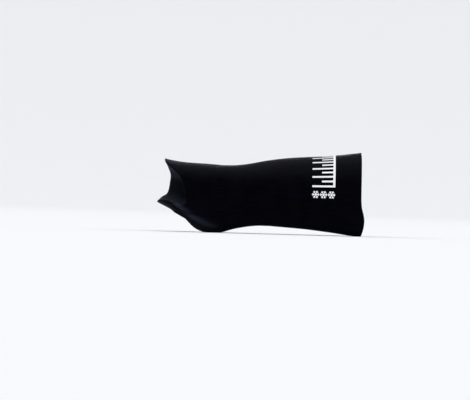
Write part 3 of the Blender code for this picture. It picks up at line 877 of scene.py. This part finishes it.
def stitch_tree():
    """A row of straight stitches beside a run, each a short plump thread."""
    tree, given, result = geometry_tree("stitch_row", "Gap", "Side", "Length", "Radius")
    add = partial(add_node, tree)
    run = add("GeometryNodeMeshToCurve", {"Mesh": given["Geometry"]})
    beside = vector_maths(tree, "SCALE", sideways(tree), Scale=given["Side"])
    run = add("GeometryNodeSetPosition", {"Geometry": run, "Offset": beside})
    spots = add("GeometryNodeCurveToPoints", {"Curve": run, "Length": given["Gap"]}, None, mode="LENGTH")
    plump = add("GeometryNodeMeshUVSphere", {"Segments": 7, "Rings": 6, "Radius": 1.0})
    half = maths(tree, "DIVIDE", given["Length"], 2.0)
    size = add("ShaderNodeCombineXYZ", {"X": given["Radius"], "Y": given["Radius"], "Z": half})
    stitches = {"Points": spots["Points"], "Instance": plump, "Rotation": spots["Rotation"], "Scale": size}
    placed = add("GeometryNodeInstanceOnPoints", stitches)
    finished_with(tree, placed, given["Material"], result)
    return tree


ZIGZAG = zigzag_tree()
STITCH_ROW = stitch_tree()


def apply_modifiers(piece):
    """Makes a piece's live shape its mesh."""
    piece.update_tag()
    bpy.context.view_layer.update()
    live = bpy.data.meshes.new_from_object(piece.evaluated_get(bpy.context.evaluated_depsgraph_get()))
    piece.modifiers.clear()
    piece.data = live


def sewn(name, tree, run, outward_of_run, **values):
    """A piece of sewing made by a tree along a run of places, each with its outward direction."""
    mesh = bpy.data.meshes.new(name)
    mesh.from_pydata([tuple(p) for p in run], [(i, i + 1) for i in range(len(run) - 1)], [])
    write_attribute(mesh, "outward", "FLOAT_VECTOR", outward_of_run)
    made = new_object(name, mesh)
    modifier = made.modifiers.new("sewing", "NODES")
    modifier.node_group = tree
    values["material"] = THREAD
    for item in tree.interface.items_tree:
        key = item.name.replace(" ", "_").lower()
        if item.in_out == "INPUT" and key in values:
            modifier[item.identifier] = values[key]
    apply_modifiers(made)
    return made


def on_cloth(path, height):
    """Places and outward directions along a path of (x, turn), at a height above the outer face."""
    x, turn = np.array(path, float).T
    return surface(x, turn, height), outward(x, turn)


def joined(name, pieces):
    """Several meshes as one piece."""
    whole = bmesh.new()
    for piece in pieces:
        whole.from_mesh(piece.data)
    mesh = bpy.data.meshes.new(name)
    whole.to_mesh(mesh)
    whole.free()
    mesh.materials.append(pieces[0].data.materials[0])
    for piece in pieces:
        bpy.data.objects.remove(piece)
    return new_object(name, mesh)


def flatlock(name, path):
    """A flatlock seam along a path of (x, turn) on the outer face."""
    run = on_cloth(path, THREAD_RADIUS * THREAD_SEAT)
    cover = sewn(
        name + "_cover", ZIGZAG, *run, pitch=SEAM_PITCH, half_width=SEAM_HALF_WIDTH, radius=THREAD_RADIUS,
        lift=THREAD_LIFT,
    )
    rows = [
        sewn(
            f"{name}_row_{side}", STITCH_ROW, *run, gap=STITCH_GAP, side=side * SEAM_HALF_WIDTH,
            length=STITCH_LENGTH, radius=THREAD_RADIUS,
        )
        for side in (-1, 1)
    ]
    return joined(name, [cover, *rows])


web_x = finger_edge(thumb_seam(NEAR_WEB)) + WEB_START
thumb_end = cuff_edge(thumb_seam(NEAR_CUFF)) - SEAM_END
little_start = finger_edge(little_seam(NEAR_KNUCKLES)) + SEAM_END
thumb_path = [(x, thumb_seam(x)) for x in np.arange(web_x, thumb_end, MM)]
little_path = [(x, little_seam(x)) for x in np.arange(little_start, cuff_edge(0) - SEAM_END, MM)]
thumb_stitching = flatlock("thumb_side_flatlock", thumb_path)
little_stitching = flatlock("little_side_flatlock", little_path)
finish_piece(thumb_stitching, "sleeve", "thread", "thumb_side_seam_stitching")
finish_piece(little_stitching, "sleeve", "thread", "little_side_seam_stitching")


# ---------------------------------------------------------------- web bar tack
# A dense bar of thread across the end of the thumb-side seam, where the web between thumb and fingers
# pulls hardest.
TACK_HALF_WIDTH = 2.6 * MM
TACK_BARS = 5
TACK_STEP = 2.1 * THREAD_RADIUS
TACK_GAP = 0.2 * MM

tack_spread = math.degrees(TACK_HALF_WIDTH / ARC)
tack_parts = []
for bar in range(TACK_BARS):
    tack_x = web_x - TACK_GAP - bar * TACK_STEP
    path = [(tack_x, thumb_seam(tack_x) + t) for t in np.linspace(-tack_spread, tack_spread, 9)]
    tack_parts.append(
        sewn(
            f"tack_{bar}", ZIGZAG, *on_cloth(path, THREAD_RADIUS), pitch=1.1 * MM, half_width=0.12 * MM,
            radius=THREAD_RADIUS, lift=0.05 * MM,
        )
    )
bar_tack = joined("web_tack", tack_parts)
finish_piece(bar_tack, "sleeve", "thread", "web_bar_tack")


# ---------------------------------------------------------------- pockets
# A pocket of open, airy mesh knit on the inside of each panel, sewn down on three edges and open at
# the cuff, where a folded hem keeps its mouth firm. It holds a gel pack against the wrist.
MESH_HOLE_PITCH = 2.3 * MM
HOLE_SHARE = 0.42
POCKET_LEVELS = 2
HEM_DEPTH = 6 * MM


def frame_copy(name, node):
    """A merged copy of a frame node in quads, ready for finer work."""
    work = bmesh.new()
    work.from_mesh(frame["nodes"][node].data)
    bmesh.ops.remove_doubles(work, verts=work.verts, dist=0.01 * MM)
    bmesh.ops.join_triangles(
        work, faces=work.faces, angle_face_threshold=math.radians(40), angle_shape_threshold=math.radians(120)
    )
    mesh = bpy.data.meshes.new(name)
    work.to_mesh(mesh)
    work.free()
    mesh.shade_smooth()
    mesh.materials.clear()
    return new_object(name, mesh)


def unroll(piece):
    """Unrolls a piece's flat pattern: round the sleeve's middle, and along it."""
    mesh = piece.data
    places = np.array([v.co for v in mesh.vertices])
    middle = oval_middle(places[:, 0])
    angle = np.arctan2(places[:, 2] - middle, places[:, 1])
    around = np.unwrap(np.stack([np.full(len(angle), np.median(angle)), angle]), axis=0)[1] * ARC
    write_pattern(mesh, "knit", np.stack([around, places[:, 0]], -1))


def mesh_material():
    """Open mesh knit: staggered round holes between soft yarns, and a closed hem at the mouth."""
    made, tree, sockets = new_material("pocket_mesh", 0.85, Specular_IOR_Level=0.1, Sheen_Weight=0.3)
    calc = partial(maths, tree)
    places = add_node(tree, "ShaderNodeTexCoord", output=None)
    split = add_node(tree, "ShaderNodeSeparateXYZ", {0: places["UV"]}, None)
    u = calc("DIVIDE", split["X"], MESH_HOLE_PITCH)
    v = calc("DIVIDE", split["Y"], MESH_HOLE_PITCH)
    waves = [calc("COSINE", calc("MULTIPLY", calc(sign, u, v), math.pi)) for sign in ("ADD", "SUBTRACT")]
    off_yarn = calc("ABSOLUTE", calc("MULTIPLY", *waves))
    cloth = calc("LESS_THAN", off_yarn, HOLE_SHARE)
    hem = calc("GREATER_THAN", split["Y"], pocket_mouth - HEM_DEPTH)
    tree.links.new(calc("MAXIMUM", cloth, hem), sockets["Alpha"])
    shade = place_group(tree, MOTTLE, places["Object"])
    two_tone(tree, shade, (0.012, 0.013, 0.018), (0.05, 0.055, 0.07), sockets["Base Color"])
    loops = place_group(tree, KNIT, places["UV"], Wale=0.9 * MM, Course=0.8 * MM)
    height = calc("MULTIPLY_ADD", off_yarn, -1.2, calc("MULTIPLY", loops, 0.4))
    add_bump(tree, sockets, height, 0.3 * MM)
    return made


pocket_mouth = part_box("back_pocket")[1].x
POCKET_MESH = mesh_material()
for side in ("back", "palm"):
    pocket = frame_copy(f"{side}_pocket_cloth", f"{side}_pocket")
    refine = pocket.modifiers.new("refine", "SUBSURF")
    refine.levels = refine.render_levels = POCKET_LEVELS
    apply_modifiers(pocket)
    unroll(pocket)
    pocket.data.materials.append(POCKET_MESH)
    finish_piece(pocket, "sleeve", "pocket_mesh", f"{side}_pocket")
    low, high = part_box(f"{side}_pocket")


# ---------------------------------------------------------------- pocket stitching
# A narrow zigzag sews each pocket's two sides and closed end to the lining, and a line of straight
# stitches holds the hem of its mouth.
POCKET_STITCH_PITCH = 3.2 * MM
POCKET_STITCH_HALF_WIDTH = 0.7 * MM
POCKET_THREAD_RADIUS = 0.17 * MM
SIDE_END = 0.9 * MM
MOUTH_END = 1 * MM
POCKET_STITCH_DEPTH = LINING_DEPTH + LINING_THICK + 1.45 * MM
SIDE_STEP = 2.5 * MM
SIDE_REACH = 5 * MM
SIDE_EASING = 5
HEM_REACH = 0.9 * MM
HEM_PLACES = 60
FACES_IN = 0.4


def face_run(piece, x_share, inward):
    """The run across a pocket's inner face at a share of its length, with directions into the sleeve."""
    places = np.array([v.co for v in piece.data.vertices])
    normals = np.array([v.normal for v in piece.data.vertices])
    middle = np.array([0, 0, oval_middle(0)])
    x = places[:, 0].min() + np.ptp(places[:, 0]) * x_share
    to_middle = (middle - places)[:, 1:]
    faces_in = (to_middle * normals[:, 1:]).sum(1) > FACES_IN * np.linalg.norm(to_middle, axis=1)
    chosen = faces_in & (abs(places[:, 0] - x) < HEM_REACH)
    order = np.argsort(np.arctan2(places[chosen, 1], inward * (middle[2] - places[chosen, 2])))
    run = places[chosen][order]
    run[:, 0] = x
    keep = np.linspace(0, len(run) - 1, HEM_PLACES).astype(int)
    return run[keep], normals[chosen][order][keep]


for side, middle_turn, inward in (("back", 90.0, -1), ("palm", 270.0, 1)):
    corners = corners_of(f"{side}_pocket_stitching")
    low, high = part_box(f"{side}_pocket_stitching")
    aside = off_turn(turn_of(corners), middle_turn)
    start_x, end_x = low.x + SIDE_END, high.x - MOUTH_END
    lines = []
    for way in (-1, 1):
        of_side = aside * way > 0
        line = [
            aside[(abs(corners[:, 0] - x) < SIDE_REACH) & of_side].mean()
            for x in np.arange(start_x, end_x, SIDE_STEP)
        ]
        line[:2] = [line[2]] * 2
        lines.append(np.convolve(line, np.ones(SIDE_EASING) / SIDE_EASING, "valid"))
    lows, highs = lines
    side_x = np.linspace(start_x, end_x, len(lows))
    path = [(x, middle_turn + t) for x, t in zip(side_x[::-1], lows[::-1])]
    path += [(start_x, middle_turn + t) for t in np.linspace(lows[0], highs[0], 40)[1:-1]]
    path += [(x, middle_turn + t) for x, t in zip(side_x, highs)]
    run, facing = on_cloth(path, -POCKET_STITCH_DEPTH)
    stitching = sewn(
        f"{side}_pocket_zigzag", ZIGZAG, run, -facing, pitch=POCKET_STITCH_PITCH,
        half_width=POCKET_STITCH_HALF_WIDTH, radius=POCKET_THREAD_RADIUS, lift=0.1 * MM,
    )
    finish_piece(stitching, "sleeve", "thread", f"{side}_pocket_stitching")
    hem_run = face_run(bpy.data.objects[f"{side}_pocket_cloth"], 1 - HEM_DEPTH / (high.x - low.x), inward)
    hem = sewn(
        f"{side}_pocket_hem_stitches", STITCH_ROW, *hem_run, gap=2.4 * MM, side=0.0, length=1.8 * MM,
        radius=POCKET_THREAD_RADIUS,
    )
    finish_piece(hem, "sleeve", "thread")


# ---------------------------------------------------------------- gel packs
# Two removable packs, each three cells of cold gel sealed between two clear films. The films are
# welded together round the cells and bulge over them, and a webbing tab is sewn to the cuff end.
PACK_RADIUS = 31 * MM
PACK_LENGTH = 78 * MM
PACK_HALF_ANGLE = 41.0
PACK_MIDDLE_DEPTH = 1.85 * MM
PACK_FLANGE = 2.5 * MM
CELL_TURNS = (("thumb_side", -26.5), ("middle", 0.0), ("little_side", 26.5))
CELL_HALF_TURN = 12.6
CELL_END_POWER, CELL_SIDE_POWER, CELL_CROWN = 12, 3.5, 0.6
CELL_GRID = (90, 25)
FILM_GRID = (118, 83)
GEL_HALF = 1.2 * MM
FILM_GAP = 0.08 * MM
FILM_THICK = 0.22 * MM
WELD_GAP = 0.01 * MM
GEL_GAP = 0.03 * MM
GEL_THINNEST = 0.02 * MM
PUCKER = 0.13 * MM
PUCKER_PITCH = 3.4 * MM
TAB_LENGTH = 16.3 * MM
TAB_HALF_WIDTH = 6.0 * MM
TAB_ROOT = 2.4 * MM
TAB_THICK = 1.0 * MM
TAB_CORNER = 3.0 * MM
TAB_ROWS = (-1.4 * MM, 1.0 * MM)
TAB_ROW_SHARE = 0.82
TAB_SOFT_EDGE = 0.35
TAB_GRID = (60, 25)


def pack_axes(side):
    """A pack's outermost line at its finger end, its slide direction, and its outward direction."""
    slide = next(j for j in frame["joints"] if j["name"] == f"{side}_pack_slide")
    along = np.array(slide["axis"], float)
    along /= np.linalg.norm(along)
    out = np.array([-along[2], 0, along[0]]) * (1 if side == "back" else -1)
    corners = corners_of(f"{side}_pack_outer_film")
    start = along * (corners @ along).min() + out * (corners @ out).max()
    start[1] += (corners[:, 1].max() + corners[:, 1].min()) / 2
    return start, along, out


def pack_place(axes, run, turn, depth):
    """Places in a pack: run along it, a turn round its curve, and a depth below its outermost face."""
    start, along, out = axes
    run, turn, depth = np.broadcast_arrays(run, np.radians(turn), depth)
    radius = PACK_RADIUS - depth
    across = np.stack([0 * run, radius * np.sin(turn), 0 * run], -1)
    return start + run[..., None] * along + (radius * np.cos(turn) - PACK_RADIUS)[..., None] * out + across


def cell_swell(run, turn, middle):
    """A cell's fullness from 0 at its weld to 1."""
    half = PACK_LENGTH / 2 - PACK_FLANGE
    u = np.clip(abs(run - PACK_LENGTH / 2) / half, 0, 1)
    v = np.clip(abs(turn - middle) / CELL_HALF_TURN, 0, 1)
    return ((1 - u**CELL_END_POWER) * (1 - v**CELL_SIDE_POWER)) ** CELL_CROWN


def grid_solid(name, outer, inner, spots, material):
    """A closed sheet between two grids of places, with a flat pattern place for each."""
    sides = grid_sides(*outer.shape[:2])
    outer, inner = outer.reshape(-1, 3), inner.reshape(-1, 3)
    mesh = closed_mesh(name, outer, inner, turned_out(sides, outer, inner))
    write_pattern(mesh, "flat", np.concatenate([spots.reshape(-1, 2)] * 2))
    mesh.materials.append(material)
    return new_object(name, mesh)


def pack_solid(name, axes, run, turn, fullness, material, start=0.0, middle=PACK_MIDDLE_DEPTH):
    """A closed sheet of a pack, as far as its fullness to each side of a middle depth."""
    upper, lower = (pack_place(axes, start + run, turn, middle + way * fullness) for way in (-1, 1))
    spots = np.stack([np.radians(turn) * PACK_RADIUS, run], -1)
    return grid_solid(name, upper, lower, spots, material)


def film_material():
    """Clear frosted film, milkier and finely dimpled where it is welded."""
    made, tree, sockets = new_material("film", 0.28, Specular_IOR_Level=0.5)
    weld = add_node(tree, "ShaderNodeAttribute", output="Fac", attribute_name="weld")
    two_tone(tree, weld, (0.30, 0.55, 0.82), (0.62, 0.78, 0.92), sockets["Base Color"])
    tree.links.new(maths(tree, "MULTIPLY_ADD", weld, 0.4, 0.3), sockets["Alpha"])
    place = add_node(tree, "ShaderNodeTexCoord", output="Object")
    dimples = add_node(tree, "ShaderNodeTexVoronoi", {"Scale": 700, "Vector": place}, "Distance")
    add_bump(tree, sockets, maths(tree, "MULTIPLY", dimples, weld), 0.25 * MM)
    return made


def gel_material():
    """Blue cold gel with cloudy depth and small trapped bubbles."""
    made, tree, sockets = new_material("gel", 0.18, Specular_IOR_Level=0.5, Coat_Roughness=0.1)
    place = add_node(tree, "ShaderNodeTexCoord", output="Object")
    cloud = place_group(tree, MOTTLE, place, Slow=120.0, Fine=500.0)
    bubbles = add_node(tree, "ShaderNodeTexVoronoi", {"Scale": 260, "Vector": place}, "Distance")
    shade = maths(tree, "MULTIPLY_ADD", maths(tree, "LESS_THAN", bubbles, 0.2), 0.25, cloud)
    two_tone(tree, shade, (0.01, 0.09, 0.30), (0.10, 0.42, 0.75), sockets["Base Color"])
    add_bump(tree, sockets, cloud, 0.15 * MM)
    return made


def tape_material(name, dark, light, roughness, gloss, sheen, wale, course, depth):
    """Woven tape, with its weave in its colour and its bump."""
    made, tree, sockets = new_material(name, roughness, Specular_IOR_Level=gloss, Sheen_Weight=sheen)
    place = add_node(tree, "ShaderNodeTexCoord", output="UV")
    weave = place_group(tree, KNIT, place, Wale=wale, Course=course)
    two_tone(tree, weave, dark, light, sockets["Base Color"])
    add_bump(tree, sockets, weave, depth)
    return made


FILM = film_material()
GEL = gel_material()
WEBBING = tape_material(
    "webbing", (0.004, 0.005, 0.007), (0.022, 0.025, 0.032), roughness=0.6, gloss=0.25, sheen=0.2,
    wale=1.2 * MM, course=0.8 * MM, depth=0.25 * MM,
)


def add_films(body, axes):
    """The two films, drawn apart over the cells, with fine puckers round each cell's edge."""
    along = np.linspace(0, PACK_LENGTH, FILM_GRID[0])
    around = np.linspace(-PACK_HALF_ANGLE, PACK_HALF_ANGLE, FILM_GRID[1])
    run, turn = np.meshgrid(along, around, indexing="ij")
    swell = np.max([cell_swell(run, turn, middle) for _, middle in CELL_TURNS], axis=0)
    edge_band = swell * (1 - swell) * 4
    pucker = PUCKER * edge_band * np.sin(2 * np.pi * run / PUCKER_PITCH + np.radians(turn) * 9)
    bulge = (GEL_HALF + FILM_GAP) * swell + pucker * swell
    for layer, way in (("outer", -1), ("inner", 1)):
        middle = PACK_MIDDLE_DEPTH + way * (bulge + WELD_GAP + FILM_THICK / 2)
        name = f"{body}_{layer}_sheet"
        film = pack_solid(name, axes, run, turn, FILM_THICK / 2, FILM, middle=middle)
        write_attribute(film.data, "weld", "FLOAT", np.tile(np.clip(1 - swell * 4, 0, 1).ravel(), 2))
        finish_piece(film, body, "film", f"{body}_{layer}_film")


def add_cell(body, axes, label, middle):
    """One cell of gel, full at its middle and thin at its welds."""
    along = np.linspace(PACK_FLANGE, PACK_LENGTH - PACK_FLANGE, CELL_GRID[0])
    around = middle + CELL_HALF_TURN * np.sin(np.linspace(-math.pi / 2, math.pi / 2, CELL_GRID[1]))
    run, turn = np.meshgrid(along, around, indexing="ij")
    full = np.maximum(GEL_HALF * cell_swell(run, turn, middle) - GEL_GAP, GEL_THINNEST)
    cell = pack_solid(f"{body}_{label}_gel", axes, run, turn, full, GEL)
    finish_piece(cell, body, "gel", f"{body}_gel_cell_{label}")


def add_tab(body, axes):
    """The webbing tab, with round corners and soft edges."""
    along, across = np.linspace(-TAB_ROOT, TAB_LENGTH, TAB_GRID[0]), np.linspace(-1, 1, TAB_GRID[1])
    run, share = np.meshgrid(along, across, indexing="ij")
    past_corner = np.clip((run - TAB_LENGTH + TAB_CORNER) / TAB_CORNER, 0, 1)
    half = TAB_HALF_WIDTH - TAB_CORNER * (1 - np.sqrt(1 - past_corner**2 * 0.999))
    turn = np.degrees(share * half / PACK_RADIUS)
    plump = TAB_THICK / 2 * (1 - TAB_SOFT_EDGE * abs(share) ** 8)
    tab = pack_solid(f"{body}_webbing_tab", axes, run, turn, plump, WEBBING, start=PACK_LENGTH)
    finish_piece(tab, body, "thread", f"{body}_pull_tab")


def add_tab_stitches(body, axes):
    """Two rows of stitches across the tab on each face."""
    line = np.degrees(np.linspace(-TAB_ROW_SHARE, TAB_ROW_SHARE, 20) * TAB_HALF_WIDTH / PACK_RADIUS)
    facing = pack_place(axes, PACK_LENGTH, line, -1.0) - pack_place(axes, PACK_LENGTH, line, 0.0)
    rows = []
    for way in (-1, 1):
        depth = PACK_MIDDLE_DEPTH + way * (TAB_THICK / 2 + 0.04 * MM)
        for at in TAB_ROWS:
            run = pack_place(axes, PACK_LENGTH + at, line, depth)
            row = sewn(
                f"{body}_tab_row_{len(rows)}", STITCH_ROW, run, -way * facing, gap=1.9 * MM, side=0.0,
                length=1.5 * MM, radius=THREAD_RADIUS,
            )
            rows.append(row)
    finish_piece(joined(f"{body}_tab_stitches", rows), body, "thread")


for side in ("back", "palm"):
    axes = pack_axes(side)
    add_films(f"{side}_pack", axes)
    for label, middle in CELL_TURNS:
        add_cell(f"{side}_pack", axes, label, middle)
    add_tab(f"{side}_pack", axes)
    add_tab_stitches(f"{side}_pack", axes)


# ---------------------------------------------------------------- print
# White stretch ink, heat-pressed onto the face near the cuff: a fitting scale round the back of the
# arm, and a row of three plain snowflakes that rates the cold. It is a thin film sunk in the knit.
INK_ABOVE = 0.14 * MM
INK_BELOW = 0.08 * MM
INK_SPACING = 0.9 * MM
INK_ROUNDS = 5


def ink_material():
    """Matt white ink that takes the knit's texture and is a little thin on its high loops."""
    made, tree, sockets = new_material("print", 0.5, Specular_IOR_Level=0.3)
    places = add_node(tree, "ShaderNodeTexCoord", output=None)
    loops = place_group(tree, KNIT, places["UV"], Wale=0.85 * MM, Course=0.75 * MM)
    shade = place_group(tree, MOTTLE, places["Object"], Slow=300.0, Fine=2500.0)
    tone = maths(tree, "MULTIPLY_ADD", loops, 0.3, shade)
    two_tone(tree, tone, (0.90, 0.90, 0.91), (1.0, 1.0, 1.0), sockets["Base Color"])
    add_bump(tree, sockets, loops, 0.08 * MM)
    return made


def pressed_on(name, node):
    """The ink of a frame node, in small faces that follow the cloth."""
    ink = frame_copy(name, node)
    work = bmesh.new()
    work.from_mesh(ink.data)
    top = work.verts.layers.float.new("top")
    places = np.array([v.co for v in work.verts])
    reach = np.hypot(places[:, 1], places[:, 2] - oval_middle(places[:, 0]))
    for i, v in enumerate(work.verts):
        gaps = np.linalg.norm(places - places[i], axis=1)
        gaps[i] = 1
        v[top] = float(reach[i] > reach[int(np.argmin(gaps))])
    for _ in range(INK_ROUNDS):
        long_edges = [e for e in work.edges if e.calc_length() > INK_SPACING]
        if long_edges:
            bmesh.ops.subdivide_edges(work, edges=long_edges, cuts=1, use_grid_fill=True)
    bmesh.ops.triangulate(work, faces=[f for f in work.faces if len(f.verts) > 4])
    places = np.array([v.co for v in work.verts])
    low, high = (surface(places[:, 0], turn_of(places), height) for height in (-INK_BELOW, INK_ABOVE))
    for v, a, b in zip(work.verts, low, high):
        v.co = a + (b - a) * v[top]
    work.to_mesh(ink.data)
    work.free()
    ink.data.shade_flat()
    unroll(ink)
    ink.data.materials.append(INK)
    return ink


INK = ink_material()
for name in ("scale", "snowflake_1", "snowflake_2", "snowflake_3"):
    ink = pressed_on(name.replace("scale", "fitting_scale"), f"printed_{name}")
    finish_piece(ink, "sleeve", "print", f"printed_{name}")


# ---------------------------------------------------------------- care label
# A blank folded satin label, sewn flat to the lining at the little-finger seam, near the cuff.
LABEL_THICK = 0.25 * MM
LABEL_HEM = 1.2 * MM
LABEL_RIPPLE = 0.12 * MM
LABEL_LOFT = 0.15 * MM
LABEL_DEPTH = LINING_DEPTH + LINING_THICK + 0.1 * MM
LABEL_GRID = (40, 24)

label_corners = corners_of("care_label")
label_turns = off_turn(turn_of(label_corners), 0)
label_x, label_turn = np.meshgrid(
    np.linspace(label_corners[:, 0].min(), label_corners[:, 0].max(), LABEL_GRID[0]),
    np.linspace(label_turns.min(), label_turns.max(), LABEL_GRID[1]),
    indexing="ij",
)
ripple = LABEL_RIPPLE * np.sin(label_x / (2.6 * MM)) * np.cos(np.radians(label_turn) * 20)
hem_share = np.minimum(label_x - label_x.min(), label_x.max() - label_x)
fold_step = LABEL_THICK * (hem_share < LABEL_HEM)
label_out = surface(label_x, label_turn, -LABEL_DEPTH)
label_way = outward(label_x, label_turn)
label_in = label_out - label_way * (LABEL_THICK + fold_step + LABEL_LOFT + ripple)[..., None]
label_spots = np.stack([np.radians(label_turn) * ARC, label_x], -1)
satin = tape_material(
    "label", (0.62, 0.63, 0.65), (0.80, 0.81, 0.83), roughness=0.45, gloss=0.4, sheen=0.1,
    wale=0.5 * MM, course=0.35 * MM, depth=0.08 * MM,
)
label = grid_solid("blank_care_label", label_out, label_in, label_spots, satin)
finish_piece(label, "sleeve", "label", "care_label")


# ---------------------------------------------------------------- studio
# A seamless pale sweep, floor and wall in one, under even light, with a broad soft lamp above and two
# small ones that pick out the black cloth. The camera is far off and looks square at the thumb side.
SWEEP_HALF_WIDTH = 6.0
SWEEP_FRONT = -8.0
SWEEP_WALL = 9.0
SWEEP_TOP = 5.0
SWEEP_BEND = 1.6
CAMERA_AIM = Vector((-0.0216, 0, 0.0277))
CAMERA_AWAY = 4.5
VIEW_WIDTH = 0.3948
CAMERA_ROLL = 1.61
SENSOR_WIDTH = 36.0
CAMERA_FAR = 30
LAMP_AIM = (-0.02, 0, 0.035)


def sweep_profile():
    """The sweep's run from the floor's front to the wall's top, as (y, z)."""
    bend = [math.radians(a) for a in range(0, 91, 6)]
    turn = [(SWEEP_WALL + SWEEP_BEND * (math.sin(a) - 1), SWEEP_BEND * (1 - math.cos(a))) for a in bend]
    return [(SWEEP_FRONT, 0), *turn, (SWEEP_WALL, SWEEP_TOP)]


sweep_mesh = bpy.data.meshes.new("sweep")
profile = sweep_profile()
sweep_mesh.from_pydata(
    [(side * SWEEP_HALF_WIDTH, y, z) for y, z in profile for side in (-1, 1)],
    [],
    [(2 * i, 2 * i + 1, 2 * i + 3, 2 * i + 2) for i in range(len(profile) - 1)],
)
sweep_mesh.shade_smooth()
sweep = new_object("sweep", sweep_mesh)
paper = new_material("paper", 0.9, Specular_IOR_Level=0.1, Base_Color=(0.90, 0.905, 0.915, 1))[0]
sweep_mesh.materials.append(paper)

world = bpy.data.worlds.new("studio")
bpy.context.scene.world = world
world.use_nodes = True
sky = world.node_tree.nodes["Background"]
sky.inputs["Color"].default_value = (0.96, 0.97, 1.0, 1)
sky.inputs["Strength"].default_value = 0.87


def lamp(name, kind, place, aim, energy, **settings):
    """A lamp of a kind, aimed from its place at a point."""
    light = bpy.data.lights.new(name, kind)
    light.energy = energy
    for key, value in settings.items():
        setattr(light, key, value)
    made = new_object(name, light)
    made.location = place
    made.rotation_euler = (Vector(aim) - Vector(place)).to_track_quat("-Z", "Y").to_euler()
    return made


lamp("ceiling_light", "SUN", (-1.0, 0.8, 4.0), (0, 0, 0), 0.7, angle=math.radians(100))
cloth_lit = bpy.data.collections.new("cloth_lit")
for cloth in (back_outer, palm_outer, thumb_stitching, little_stitching, bar_tack):
    cloth_lit.objects.link(cloth)
for name, place, power in (("edge_light", (-0.3, 0.25, 0.6), 3), ("far_side_light", (0.35, 0.9, 0.3), 18)):
    small = lamp(name, "AREA", place, LAMP_AIM, power, size=0.25, color=(0.92, 0.95, 1.0))
    small.light_linking.receiver_collection = cloth_lit

camera_data = bpy.data.cameras.new("camera")
camera_data.sensor_width = SENSOR_WIDTH
camera_data.lens = SENSOR_WIDTH * CAMERA_AWAY / VIEW_WIDTH
camera_data.clip_end = CAMERA_FAR
camera = new_object("camera", camera_data)
camera.location = CAMERA_AIM - Vector((0, CAMERA_AWAY, 0))
level = Vector((0, 1, 0)).to_track_quat("-Z", "Y")
camera.rotation_mode = "QUATERNION"
camera.rotation_quaternion = level @ Quaternion((0, 0, 1), math.radians(CAMERA_ROLL))
bpy.context.scene.camera = camera
bpy.context.scene.view_settings.view_transform = "Standard"
